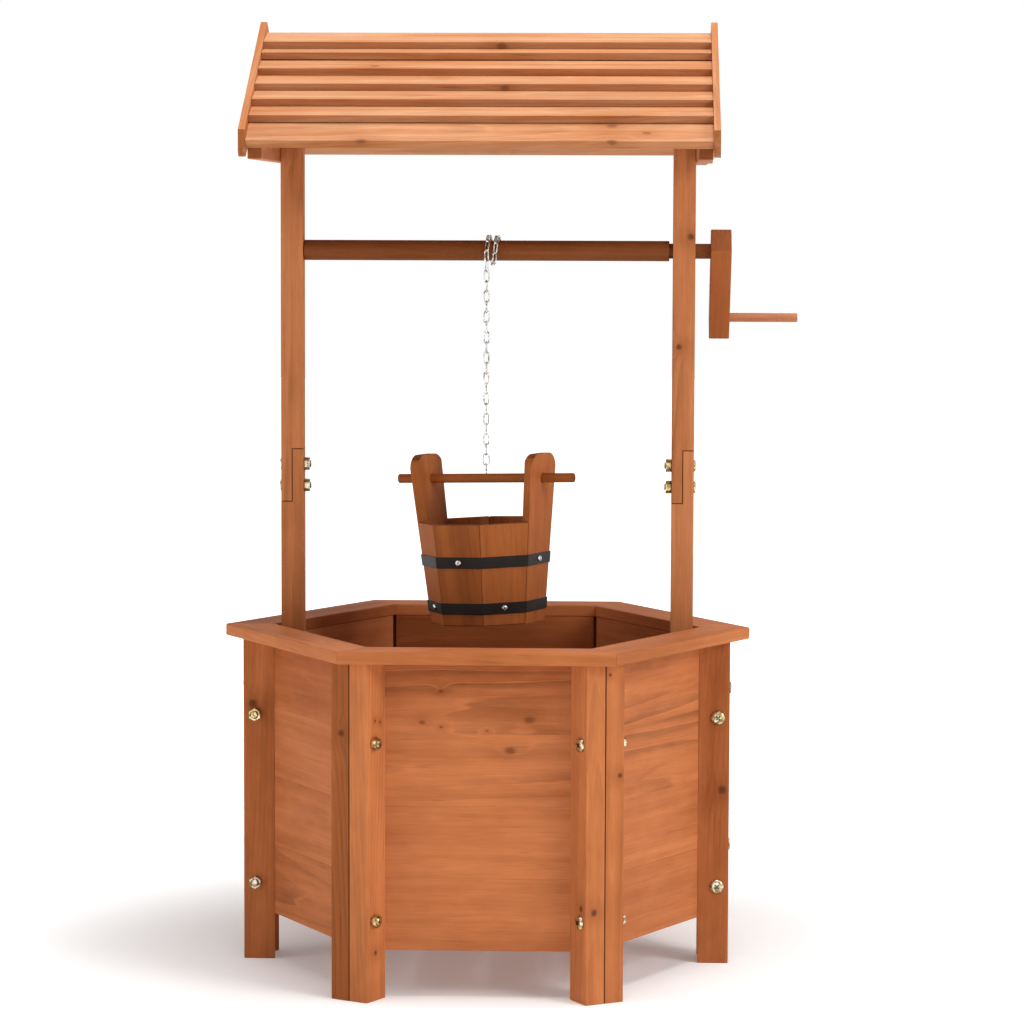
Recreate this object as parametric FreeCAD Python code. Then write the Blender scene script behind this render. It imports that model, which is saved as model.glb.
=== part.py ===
"""Wishing well planter: a six-sided wooden tub with two posts, a crank windlass, a chain, a bucket and a gabled roof."""
import FreeCAD
import Part
import os
from math import asin, atan2, ceil, cos, degrees, hypot, pi, radians, sin, tan

V = FreeCAD.Vector

# Driving dimensions, in millimetres and degrees. Z is up and the front is -Y.

# Tub
side_count = 6
leg_height = 365.0
leg_outer_radius = 273.0
leg_bar_width = 23.0
leg_depth = 21.85
panel_thickness = 11.0
panel_bottom = 52.0
panel_board_count = 4
panel_corner_gap = 2.2
rim_overhang = 22.0
rim_board_width = 48.5
rim_thickness = 13.3
floor_top = 86.0
floor_thickness = 12.0
floor_board_count = 6
floor_board_gap = 5.0
floor_edge_gap = 1.5
cleat_height = 20.0
cleat_thickness = 15.0
cleat_length = 190.0

# Posts
post_width = 25.0
post_fit = 0.2
lap_bottom = 518.0
lap_top = 577.0

# Roof
roof_pitch = 28.3
roof_apex_height = 1029.6
roof_board_thickness = 8.0
roof_board_overlap = 10.0
ridge_exposure = 41.0
second_exposure = 27.0
course_exposure = 37.0
course_count = 4
eave_exposure = 40.0
eave_board_thickness = 9.0
eave_board_overlap = 4.0
board_fit = 0.05
tie_thickness = 15.5
tie_height = 26.0
tie_drop = 132.6
tie_half_length = 205.0
rafter_depth = 22.0
barge_thickness = 7.2
barge_width = 30.0
barge_stand = 19.5
barge_end = 230.0
barge_corner_radius = 8.0

# Bolts and nuts
bolt_diameter = 8.0
bolt_clearance = 0.3
bolt_head_diameter = 15.6
bolt_head_height = 3.4
flat_head_diameter = 13.4
flat_head_height = 2.4
nut_across_flats = 13.0
nut_thickness = 6.5
bolt_end = 1.5
shank_sides = 8
head_sides = 10
corner_bolt_inset = 13.0
corner_bolt_heights = (87.5, 278.5)
post_bolt_heights = (132.0, 310.0)
lap_bolt_inset = 17.5

# Windlass
windlass_height = 799.0
roller_diameter = 22.6
roller_left_gap = 0.6
roller_right_gap = 4.0
journal_diameter = 16.8
journal_clearance = 0.3
journal_left_inset = 2.0
crank_gap = 17.0
crank_thickness = 23.0
crank_width = 35.0
crank_throw = 105.0
crank_end = 17.5
crank_lean = 44.0
crank_fit = 0.05
handle_diameter = 10.2
handle_reach = 77.0

# Chain
wire_diameter = 1.7
link_width = 6.8
link_play = 0.15
hanging_link_count = 20
wound_link_count = 12
wound_link_tilt = 45.0
wound_link_gap = 0.15
turn_pitch = 9.4
chain_x = -1.0
untwist_step = 15.0
end_link_inner_length = 11.0
end_link_width = 8.4
wire_sides = 6
link_corner_share = 0.5

# Hanger and bucket
dowel_height = 545.5
dowel_diameter = 10.4
dowel_length = 218.0
dowel_clearance = 0.3
dowel_shift = -1.1
eye_inner_diameter = 6.0
eye_wire_diameter = 1.8
eye_neck = 2.5
eye_depth = 6.0
stave_count = 8
bucket_turn = -24.5
bucket_shift = -4.3
bucket_weight_height = 455.0
bucket_bottom = 385.0
bucket_rim = 498.0
ear_above_dowel = 27.5
bucket_bottom_radius = 63.7
bucket_rim_radius = 75.4
stave_thickness = 10.0
ear_corner_radius = 20.0
bucket_floor_bottom = 391.0
bucket_floor_thickness = 9.0
bucket_floor_fit = 0.1
hoop_bottoms = (398.0, 449.5)
hoop_height = 12.5
hoop_thickness = 1.2
hoop_fit = 0.05
screw_head_diameter = 7.0
screw_head_height = 1.6
screw_diameter = 3.0
screw_length = 8.0

# Values worked out from the driving dimensions
half_side = pi / side_count
side_angle = 360.0 / side_count
corner_bolt_radius = leg_outer_radius - corner_bolt_inset
panel_corner = leg_outer_radius - leg_depth
panel_outer_apothem = panel_corner * cos(half_side)
panel_inner_apothem = panel_outer_apothem - panel_thickness
panel_half_length = panel_inner_apothem * tan(half_side) - panel_corner_gap
rim_corner_radius = leg_outer_radius + rim_overhang
rim_outer_apothem = rim_corner_radius * cos(half_side)
rim_inner_apothem = rim_outer_apothem - rim_board_width
floor_apothem = panel_inner_apothem - floor_edge_gap
post_outer = (panel_inner_apothem - post_width / 2 * sin(half_side)) / cos(half_side) - post_fit
post_x = post_outer - post_width / 2
post_inner = post_outer - post_width
tie_outer = post_outer + tie_thickness
tie_bottom = roof_apex_height - tie_drop
tie_top = tie_bottom + tie_height
barge_outer = tie_outer + barge_thickness
pitch_angle = radians(roof_pitch)
crank_inner = post_outer + crank_gap
crank_outer = crank_inner + crank_thickness
handle_end = crank_outer + handle_reach
roller_left = -post_inner + roller_left_gap
roller_right = post_inner - roller_right_gap
journal_left = -post_outer + journal_left_inset
dowel_top = dowel_height + dowel_diameter / 2
bucket_top = dowel_height + ear_above_dowel
eye_radius = (eye_inner_diameter + eye_wire_diameter) / 2
eye_centre_height = dowel_top + eye_neck + eye_radius + eye_wire_diameter / 2
eye_seat = eye_centre_height + eye_inner_diameter / 2
chain_pitch = (windlass_height - eye_seat - end_link_inner_length) / hanging_link_count
link_half_depth = (link_width - wire_diameter) / 2 * cos(radians(wound_link_tilt)) + wire_diameter / 2
chord_radius = roller_diameter / 2 + wound_link_gap + link_half_depth
chain_radius = hypot(chord_radius, chain_pitch / 2)
link_turn = 2 * asin(chain_pitch / 2 / chain_radius)
chain_y = -chain_radius
bucket_tilt = degrees(atan2(-bucket_shift, eye_seat - bucket_weight_height))
bucket_slope = (bucket_rim_radius - bucket_bottom_radius) / (bucket_rim - bucket_bottom)
half_stave = pi / stave_count
face_cos = cos(half_stave)
# The origin lies under the middle of the overall length, so the tub stands a little to the left of it
tub_x = (rim_corner_radius - handle_end) / 2


def prism(points, direction):
    """Solid between a flat polygon and its copy shifted by a vector."""
    return Part.Face(Part.makePolygon(points + points[:1])).extrude(direction)


def upright(outline, bottom, top):
    """Upright prism over an outline of (x, y) points."""
    return prism([V(x, y, bottom) for x, y in outline], V(0, 0, top - bottom))


def box(x0, x1, y0, y1, z0, z1):
    """Box between the given limits."""
    return Part.makeBox(x1 - x0, y1 - y0, z1 - z0, V(x0, y0, z0))


def rod(start, end, diameter):
    """Round rod from one point to another."""
    along = end - start
    return Part.makeCylinder(diameter / 2, along.Length, start, along)


def turned(shape, angle, centre=V(0, 0, 0)):
    """Copy of a shape turned about the upright line through a point, in degrees."""
    copy = shape.copy()
    copy.rotate(centre, V(0, 0, 1), angle)
    return copy


def save(name, solids):
    """Write one node's solids, with the origin under the middle of the overall length."""
    shape = solids[0] if len(solids) == 1 else Part.makeCompound(solids)
    shape = shape.copy()
    shape.translate(V(tub_x, 0, 0))
    shape.exportStep(os.path.join("parts", name + ".step"))


def around(centre, axis, radius, sides):
    """Closed polygon of equal sides round a level axis."""
    up = V(0, 0, 1)
    across = axis.cross(up).normalize()
    up = across.cross(axis).normalize()
    points = []
    for i in range(sides):
        turn = 2 * pi * (i + 0.5) / sides
        points.append(centre + up * (radius * cos(turn)) + across * (radius * sin(turn)))
    return Part.makePolygon(points + points[:1])


def shank(start, end, diameter):
    """Slim fastener shank, faceted to stay light, with its corners on the diameter."""
    return Part.Face(around(start, end - start, diameter / 2, shank_sides)).extrude(end - start)


def drilled(start, end, diameter):
    """Hole for a faceted shank, with its flats on the diameter."""
    radius = diameter / 2 / cos(pi / shank_sides)
    return Part.Face(around(start, end - start, radius, shank_sides)).extrude(end - start)


def bolt(start, end, diameter, head_diameter, head_height):
    """Bolt or screw with a low domed head before its start point, the shank running to the end point."""
    axis = (end - start).normalize()
    head = []
    for width, rise in ((1.0, 0.0), (1.0, 0.4), (0.62, 1.0)):
        head.append(around(start - axis * (head_height * rise), axis, head_diameter / 2 * width, head_sides))
    return Part.makeLoft(head, True, True).fuse(shank(start, end, diameter))


def nut(start, axis):
    """Hexagonal nut with its bearing face at the start point."""
    body = Part.Face(around(start, axis, nut_across_flats / 2 / cos(pi / 6), 6)).extrude(axis * nut_thickness)
    return body.cut(drilled(start - axis, start + axis * (nut_thickness + 1), bolt_diameter + 2 * board_fit))


def ring(length, width, wire):
    """Closed oval of wire in the XZ plane: a loft through sections mitred at the corners of its path."""
    half_length = length / 2
    half_width = width / 2
    cut = half_width * link_corner_share
    path = []
    for sx, sz in ((1, -1), (1, 1), (-1, 1), (-1, -1)):
        side_point = V(sx * half_width, 0, sz * (half_length - cut))
        end_point = V(sx * (half_width - cut), 0, sz * half_length)
        path += [side_point, end_point] if sx == sz else [end_point, side_point]
    sections = []
    for i, point in enumerate(path):
        before = (point - path[i - 1]).normalize()
        after = (path[(i + 1) % len(path)] - point).normalize()
        out_before = V(before.z, 0, -before.x)
        mitre = (out_before + V(after.z, 0, -after.x)).normalize()
        stretch = 1 / mitre.dot(out_before)
        section = []
        for j in range(wire_sides):
            turn = 2 * pi * j / wire_sides
            section.append(point + mitre * (wire / 2 * cos(turn) * stretch) + V(0, wire / 2 * sin(turn), 0))
        sections.append(Part.makePolygon(section + section[:1]))
    return Part.makeLoft(sections, True, True, True)


def placed(shape, centre, width_axis, long_axis):
    """Copy of an oval with its width and its length laid along two axes, round a centre."""
    third = long_axis.cross(width_axis)
    matrix = FreeCAD.Matrix(width_axis.x, third.x, long_axis.x, centre.x,
                            width_axis.y, third.y, long_axis.y, centre.y,
                            width_axis.z, third.z, long_axis.z, centre.z,
                            0, 0, 0, 1)
    copy = shape.copy()
    copy.transformShape(matrix, True)
    return copy


# Tub

def leg_bars(corner):
    """The two bars of one leg: each bears on one panel, and they meet on the tub's corner line."""
    at_panel = (panel_outer_apothem - leg_bar_width * sin(half_side)) / cos(half_side)
    bars = []
    for side in (-1, 1):
        outline = [(panel_corner, 0), (leg_outer_radius, 0), (leg_outer_radius, side * leg_bar_width),
                   (at_panel, side * leg_bar_width)]
        bar = upright(outline, 0, leg_height).cut(corner_bolt_holes())
        if corner % 3 == 0:
            bar = bar.cut(post_bolt_holes())
        bars.append(turned(bar, corner * side_angle))
    return bars


def corner_bolt_holes():
    """Holes through both bars of the leg on +X."""
    holes = []
    for height in corner_bolt_heights:
        start = V(corner_bolt_radius, -leg_bar_width - 1, height)
        end = V(corner_bolt_radius, leg_bar_width + 1, height)
        holes.append(drilled(start, end, bolt_diameter + 2 * bolt_clearance))
    return holes


def post_bolt_holes():
    """Holes from the outside of the leg on +X into the post behind it."""
    holes = []
    for height in post_bolt_heights:
        start = V(leg_outer_radius + 1, 0, height)
        end = V(post_inner - 1, 0, height)
        holes.append(drilled(start, end, bolt_diameter + 2 * bolt_clearance))
    return holes


def panel(side):
    """One side of the tub: boards edge to edge, cut square at the ends."""
    board_height = (leg_height - panel_bottom) / panel_board_count
    near_corner = side_angle / 2
    boards = []
    for i in range(panel_board_count):
        bottom = panel_bottom + i * board_height
        board = box(panel_inner_apothem, panel_outer_apothem, -panel_half_length, panel_half_length,
                    bottom, bottom + board_height)
        if side % 3 == 0:
            board = board.cut([turned(hole, -near_corner) for hole in post_bolt_holes()])
        if side % 3 == 2:
            board = board.cut([turned(hole, near_corner) for hole in post_bolt_holes()])
        boards.append(turned(board, (side + 0.5) * side_angle))
    return boards


def rim_board(side):
    """One board of the rim, mitred at both ends."""
    outer_half = rim_outer_apothem * tan(half_side)
    inner_half = rim_inner_apothem * tan(half_side)
    outline = [(rim_inner_apothem, -inner_half), (rim_outer_apothem, -outer_half),
               (rim_outer_apothem, outer_half), (rim_inner_apothem, inner_half)]
    return turned(upright(outline, leg_height, leg_height + rim_thickness), (side + 0.5) * side_angle)


def floor_boards():
    """Floor boards laid from front to back, with gaps between them for drainage."""
    reach = floor_apothem / cos(half_side)
    corners = [(reach * cos(2 * half_side * i), reach * sin(2 * half_side * i)) for i in range(side_count)]
    whole = upright(corners, floor_top - floor_thickness, floor_top)
    pitch = 2 * reach / floor_board_count
    boards = []
    for i in range(floor_board_count):
        left = -reach + i * pitch + floor_board_gap / 2
        strip = box(left, left + pitch - floor_board_gap, -reach, reach, 0, floor_top)
        boards.append(whole.common(strip))
    return boards


def floor_cleats():
    """Cleats on the insides of the panels, under the floor boards."""
    top = floor_top - floor_thickness
    cleat = box(panel_inner_apothem - cleat_thickness, panel_inner_apothem, -cleat_length / 2,
                cleat_length / 2, top - cleat_height, top)
    return [turned(cleat, (side + 0.5) * side_angle) for side in range(side_count)]


# Posts

def post_x_range(side):
    """X limits of the left (-1) or right (+1) post."""
    centre = side * post_x
    return centre - post_width / 2, centre + post_width / 2


def lap_bolt_heights():
    """Heights of the two bolts through a lap joint."""
    return lap_bottom + lap_bolt_inset, lap_top - lap_bolt_inset


def lap_bolt_holes(side):
    """Holes through the lap joint of one post."""
    left, right = post_x_range(side)
    holes = []
    for height in lap_bolt_heights():
        start = V(left - 1, 0, height)
        end = V(right + 1, 0, height)
        holes.append(drilled(start, end, bolt_diameter + 2 * bolt_clearance))
    return holes


def lower_post(side):
    """Lower half of a post, on the floor, with the right half of its top standing up as the lap's tongue."""
    left, right = post_x_range(side)
    half = post_width / 2
    body = box(left, right, -half, half, floor_top, lap_top)
    notch = box(left, side * post_x, -half, half, lap_bottom, lap_top)
    holes = lap_bolt_holes(side) + [turned(hole, 90 - 90 * side) for hole in post_bolt_holes()]
    return body.cut([notch] + holes)


def upper_post(side):
    """Upper half of a post, lapped on the lower one, bored for the windlass and cut to the roof's slopes."""
    left, right = post_x_range(side)
    half = post_width / 2
    body = box(left, right, -half, half, lap_bottom, roof_apex_height).common(under_roof())
    notch = box(side * post_x, right, -half, half, lap_bottom, lap_top)
    bore = rod(V(left - 1, 0, windlass_height), V(right + 1, 0, windlass_height),
               journal_diameter + 2 * journal_clearance)
    return body.cut([notch, bore] + lap_bolt_holes(side))


# Roof

def roof_point(side, along, above):
    """Point in the YZ plane from its distance down the slope and its height square to the slope."""
    y = side * (along * cos(pitch_angle) + above * sin(pitch_angle))
    return V(0, y, roof_apex_height - along * sin(pitch_angle) + above * cos(pitch_angle))


def roof_prism(side, outline, left, right):
    """Prism along X over an outline of (along, above) points of one slope."""
    points = [roof_point(side, along, above) + V(left, 0, 0) for along, above in outline]
    return prism(points, V(right - left, 0, 0))


def slope_half(side):
    """Block that holds everything on one side of the ridge."""
    reach = 2 * barge_end
    return box(-reach, reach, min(0, side * reach), max(0, side * reach), 0, 2 * roof_apex_height)


def under_roof():
    """Block under the lines of the rafters' top edges."""
    reach = barge_end / cos(pitch_angle) + roof_apex_height
    left = -2 * barge_outer
    foot = [roof_point(side, reach, 0) for side in (-1, 1)]
    apex = roof_point(1, 0, 0)
    return prism([point + V(left, 0, 0) for point in (foot[0], apex, foot[1])], V(-2 * left, 0, 0))


def eave_outline():
    """Section of the thicker board at the eave."""
    upper = course_edges()[-1] - eave_board_overlap
    lower = course_edges()[-1] + eave_exposure
    return [(upper, 0), (lower, 0), (lower, eave_board_thickness), (upper, eave_board_thickness)]


def course_edges():
    """Distances down the slope of the lower edges of the thin boards."""
    edges = [ridge_exposure, ridge_exposure + second_exposure]
    for _ in range(course_count):
        edges.append(edges[-1] + course_exposure)
    return edges


def course_outlines():
    """Sections of the thin boards from the lowest up: each stands on the rafter and leans on the board below."""
    edges = [0.0] + course_edges()
    lean_corner = (edges[-1] - eave_board_overlap, eave_board_thickness)
    lean_slope = 0.0
    outlines = []
    for i in range(len(edges) - 1, 0, -1):
        upper = edges[i - 1] - roof_board_overlap
        lower = edges[i]
        on_corner = atan2(lean_corner[1] + board_fit, lean_corner[0] - upper)
        edge_rest = lean_corner[1] + (lower - lean_corner[0]) * tan(lean_slope)
        on_edge = atan2(edge_rest + board_fit, lower - upper)
        tilt = max(on_corner, on_edge)
        length = (lower - upper) / cos(tilt)
        corner = (upper - roof_board_thickness * sin(tilt), roof_board_thickness * cos(tilt))
        step = (length * cos(tilt), length * sin(tilt))
        outlines.append([(upper, 0), (upper + step[0], step[1]), (corner[0] + step[0], corner[1] + step[1]), corner])
        lean_corner = corner
        lean_slope = tilt
    return outlines


def roof_boards(side):
    """All the boards of one slope, the eave board last; they end at the barge boards."""
    boards = []
    for outline in course_outlines() + [eave_outline()]:
        board = roof_prism(side, outline, -tie_outer, tie_outer)
        boards.append(board.common(slope_half(side)))
    return boards


def tie(side):
    """Flat board along Y outside a post's top, its upper corners cut to the slopes."""
    left, right = sorted((side * post_outer, side * tie_outer))
    return box(left, right, -tie_half_length, tie_half_length, tie_bottom, tie_top).common(under_roof())


def rafter(side, slope):
    """Rafter above the tie, from its seat to the ridge."""
    left, right = sorted((side * post_outer, side * tie_outer))
    reach = barge_end / cos(pitch_angle)
    body = roof_prism(slope, [(-rafter_depth, 0), (reach, 0), (reach, -rafter_depth), (-rafter_depth, -rafter_depth)],
                      left, right)
    above_tie = box(left, right, -2 * reach, 2 * reach, tie_top, 2 * roof_apex_height)
    return body.common(slope_half(slope)).common(under_roof()).common(above_tie)


def barge_board(side, slope):
    """Thin board that covers the ends of the roof boards, plumb at both ends with its eave corner rounded."""
    left, right = sorted((side * tie_outer, side * barge_outer))
    reach = 2 * barge_end
    band = roof_prism(slope, [(-reach / 2, barge_stand), (reach, barge_stand), (reach, barge_stand - barge_width),
                              (-reach / 2, barge_stand - barge_width)], left, right)
    far = slope * barge_end
    body = band.common(box(left, right, min(0, far), max(0, far), 0, 2 * roof_apex_height))
    corner = [edge for edge in body.Edges
              if abs(edge.CenterOfMass.y - far) < 1e-3 and edge.BoundBox.YLength < 1e-3 and edge.BoundBox.ZLength < 1e-3]
    corner.sort(key=lambda edge: edge.CenterOfMass.z)
    return body.makeFillet(barge_corner_radius, corner[:1])


# Bolts and nuts

def corner_bolts():
    """Bolts round the tub that pull the two bars of each leg together."""
    solids = []
    for corner in range(side_count):
        for height in corner_bolt_heights:
            start = V(corner_bolt_radius, -leg_bar_width, height)
            end = V(corner_bolt_radius, leg_bar_width + nut_thickness + bolt_end, height)
            piece = bolt(start, end, bolt_diameter, bolt_head_diameter, bolt_head_height)
            solids.append(turned(piece, corner * side_angle))
    return solids


def post_bolts():
    """Bolts from outside the left and right legs through the posts."""
    solids = []
    for side_turn in (0, 180):
        for height in post_bolt_heights:
            start = V(leg_outer_radius, 0, height)
            end = V(post_inner - nut_thickness - bolt_end, 0, height)
            piece = bolt(start, end, bolt_diameter, flat_head_diameter, flat_head_height)
            solids.append(turned(piece, side_turn))
    return solids


def lap_bolts():
    """Bolts through the laps of the posts, heads on the outer sides."""
    solids = []
    for side in (-1, 1):
        for height in lap_bolt_heights():
            start = V(side * post_outer, 0, height)
            end = V(side * (post_inner - nut_thickness - bolt_end), 0, height)
            solids.append(bolt(start, end, bolt_diameter, flat_head_diameter, flat_head_height))
    return solids


def hex_nuts():
    """The nuts of all the bolts."""
    solids = []
    for corner in range(side_count):
        for height in corner_bolt_heights:
            solids.append(turned(nut(V(corner_bolt_radius, leg_bar_width, height), V(0, 1, 0)), corner * side_angle))
    for side in (-1, 1):
        for height in post_bolt_heights + lap_bolt_heights():
            solids.append(nut(V(side * post_inner, 0, height), V(-side, 0, 0)))
    return solids


# Windlass

def roller():
    """Roller between the posts, turned down at both ends to journals, the right one reaching the crank."""
    barrel = rod(V(roller_left, 0, windlass_height), V(roller_right, 0, windlass_height), roller_diameter)
    journal = rod(V(journal_left, 0, windlass_height), V(crank_outer, 0, windlass_height), journal_diameter)
    return barrel.fuse(journal).removeSplitter()


def crank_arm():
    """Flat arm on the end of the roller, with a hole for the journal and one for the handle."""
    centre = V(0, 0, windlass_height)
    half = crank_width / 2
    body = box(crank_inner, crank_outer, -half, half, windlass_height - crank_throw - crank_end,
               windlass_height + crank_end)
    arm_holes = []
    for drop, diameter in ((0, journal_diameter), (crank_throw, handle_diameter)):
        height = windlass_height - drop
        arm_holes.append(rod(V(crank_inner - 1, 0, height), V(crank_outer + 1, 0, height), diameter + 2 * crank_fit))
    body = body.cut(arm_holes)
    body.rotate(centre, V(1, 0, 0), crank_lean)
    return body


def crank_handle():
    """Handle dowel, parallel to the roller."""
    lean = radians(crank_lean)
    y = crank_throw * sin(lean)
    z = windlass_height - crank_throw * cos(lean)
    return rod(V(crank_inner, y, z), V(handle_end, y, z), handle_diameter)


# Chain

def small_link():
    """Link of the chain, its inner length one pitch and a little play."""
    return ring(chain_pitch + link_play + wire_diameter, link_width - wire_diameter, wire_diameter)


def wound_point(turn):
    """Point of the winding, the turn counted from where the chain leaves the roller."""
    x = chain_x + turn_pitch * turn / (2 * pi)
    return V(x, chain_y * cos(turn), windlass_height + chain_radius * sin(turn))


def chain_turns():
    """Links wound on the roller, tilted by turns to one side and the other."""
    tilt = radians(wound_link_tilt)
    links = []
    for i in range(wound_link_count):
        start = wound_point(i * link_turn)
        end = wound_point((i + 1) * link_turn)
        long_axis = (end - start).normalize()
        middle = (i + 0.5) * link_turn
        outward = V(0, -cos(middle), sin(middle))
        side = 1 if i % 2 == 0 else -1
        width_axis = outward * cos(tilt) + V(side * sin(tilt), 0, 0)
        width_axis = (width_axis - long_axis * width_axis.dot(long_axis)).normalize()
        links.append(placed(small_link(), (start + end) * 0.5, width_axis, long_axis))
    return links


def hanging_chain():
    """Links from the roller down to the longer last link on the dowel's eye."""
    links = []
    untwist_links = ceil(wound_link_tilt / untwist_step)
    for i in range(hanging_link_count):
        centre = V(chain_x, chain_y, windlass_height - (i + 0.5) * chain_pitch)
        twist = wound_link_tilt * (1 - min(i, untwist_links) / untwist_links)
        turn = radians(90 * i + twist)
        links.append(placed(small_link(), centre, V(cos(turn), sin(turn), 0), V(0, 0, 1)))
    last = ring(end_link_inner_length + wire_diameter, end_link_width - wire_diameter, wire_diameter)
    turn = radians(90 * hanging_link_count)
    centre = V(chain_x, chain_y, eye_seat + end_link_inner_length / 2)
    links.append(placed(last, centre, V(cos(turn), sin(turn), 0), V(0, 0, 1)))
    return links


# Hanger and bucket, modelled round their own upright axis and then moved under the chain

def under_chain(shape):
    """Shape tilted and turned from its own axis to its place under the chain, the tilt about the eye's seat."""
    tilted = shape.copy()
    tilted.rotate(V(0, 0, eye_seat), V(0, -1, 0), bucket_tilt)
    moved = turned(tilted, bucket_turn)
    moved.translate(V(chain_x, chain_y, 0))
    return moved


def on_dowel(shape):
    """Part of the bucket, which hangs askew because its middle is not quite under the eye."""
    shifted = shape.copy()
    shifted.translate(V(bucket_shift, 0, 0))
    return under_chain(shifted)


def bucket_dowel():
    """Dowel through the ears of the bucket, bored for the eye."""
    left = dowel_shift - dowel_length / 2
    body = rod(V(left, 0, dowel_height), V(left + dowel_length, 0, dowel_height), dowel_diameter)
    bore = Part.makeCylinder(eye_wire_diameter / 2 + board_fit, eye_depth + 1, V(0, 0, dowel_top - eye_depth))
    return under_chain(body.cut(bore))


def dowel_eye():
    """Screw eye on top of the dowel, square to the last link."""
    loop = ring(2 * eye_radius, 2 * eye_radius, eye_wire_diameter)
    loop.rotate(V(0, 0, 0), V(0, 0, 1), 90 * hanging_link_count + 90 - bucket_turn)
    loop.translate(V(0, 0, eye_centre_height))
    neck_height = eye_centre_height - eye_radius - dowel_top + eye_depth
    neck = Part.makeCylinder(eye_wire_diameter / 2, neck_height, V(0, 0, dowel_top - eye_depth))
    return under_chain(loop.fuse(neck))


def bucket_radius(height):
    """Outer corner radius of the bucket at a height."""
    return bucket_rim_radius + (height - bucket_rim) * bucket_slope


def tapered_octagon(bottom, top, offset):
    """Tapered octagonal block whose faces stand off the bucket's outer faces by an offset."""
    wires = []
    for height in (bottom, top):
        radius = bucket_radius(height) + offset / face_cos
        points = []
        for i in range(stave_count):
            turn = half_stave * (2 * i + 1)
            points.append(V(radius * cos(turn), radius * sin(turn), height))
        wires.append(Part.makePolygon(points + points[:1]))
    return Part.makeLoft(wires, True, True)


def stave_block(index, top):
    """One stave's share of the tapered wall, mitred against its neighbours."""
    wall = tapered_octagon(bucket_bottom, top, 0).cut(tapered_octagon(bucket_bottom - 1, top + 1, -stave_thickness))
    reach = 2 * bucket_rim_radius
    edge = reach * tan(half_stave)
    share = upright([(0, 0), (reach, -edge), (reach, edge)], bucket_bottom, top)
    share = wall.common(share)
    for hoop_index in range(len(hoop_bottoms)):
        if index % 2 == first_screw(hoop_index):
            start, end = screw_line(hoop_index)
            share = share.cut(drilled(start, end, screw_diameter + 2 * board_fit))
    return share


def stave(index):
    """Plain stave between the ears."""
    return on_dowel(turned(stave_block(index, bucket_rim), index * degrees(2 * half_stave)))


def ear_stave(index):
    """Long stave that stands above the rim as an ear, with round top corners and a hole for the dowel."""
    block = stave_block(index, bucket_top)
    half = bucket_radius(bucket_top) * sin(half_stave)
    reach = 2 * bucket_rim_radius
    corners = box(0, reach, -half, half, bucket_bottom - 1, bucket_top)
    top_edges = [edge for edge in corners.Edges
                 if abs(edge.CenterOfMass.z - bucket_top) < 1e-3 and edge.BoundBox.YLength < 1e-3]
    block = block.common(corners.makeFillet(ear_corner_radius, top_edges))
    hole = rod(V(0, 0, dowel_height), V(reach, 0, dowel_height), dowel_diameter + 2 * dowel_clearance)
    return on_dowel(turned(block.cut(hole), index * degrees(2 * half_stave)))


def bucket_floor():
    """Octagonal bottom board inside the staves."""
    top = bucket_floor_bottom + bucket_floor_thickness
    return on_dowel(tapered_octagon(bucket_floor_bottom, top, -stave_thickness - bucket_floor_fit))


def first_screw(hoop_index):
    """First of the staves with a screw: every other one, and not the same ones for the two hoops."""
    return 1 - hoop_index


def screw_line(hoop_index):
    """Start and end of a hoop screw's shank, square to the face of the stave that faces +X."""
    height = hoop_bottoms[hoop_index] + hoop_height / 2
    lean = atan2(bucket_slope * face_cos, 1)
    start = V(bucket_radius(height) * face_cos + hoop_thickness + hoop_fit, 0, height)
    return start, start + V(-cos(lean), 0, sin(lean)) * screw_length


def hoop(index):
    """Flat iron hoop round the staves, following their taper."""
    bottom = hoop_bottoms[index]
    top = bottom + hoop_height
    body = tapered_octagon(bottom, top, hoop_thickness + hoop_fit).cut(tapered_octagon(bottom - 1, top + 1, hoop_fit))
    start, end = screw_line(index)
    hole = drilled(start * 2 - end, end, screw_diameter + 2 * board_fit)
    holes = []
    for i in range(first_screw(index), stave_count, 2):
        holes.append(turned(hole, i * degrees(2 * half_stave)))
    return on_dowel(body.cut(holes))


def hoop_screws():
    """Round-headed screws that hold the hoops, on every other stave."""
    solids = []
    for index in range(len(hoop_bottoms)):
        start, end = screw_line(index)
        screw = bolt(start, end, screw_diameter, screw_head_diameter, screw_head_height)
        for i in range(first_screw(index), stave_count, 2):
            solids.append(on_dowel(turned(screw, i * degrees(2 * half_stave))))
    return solids


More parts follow.
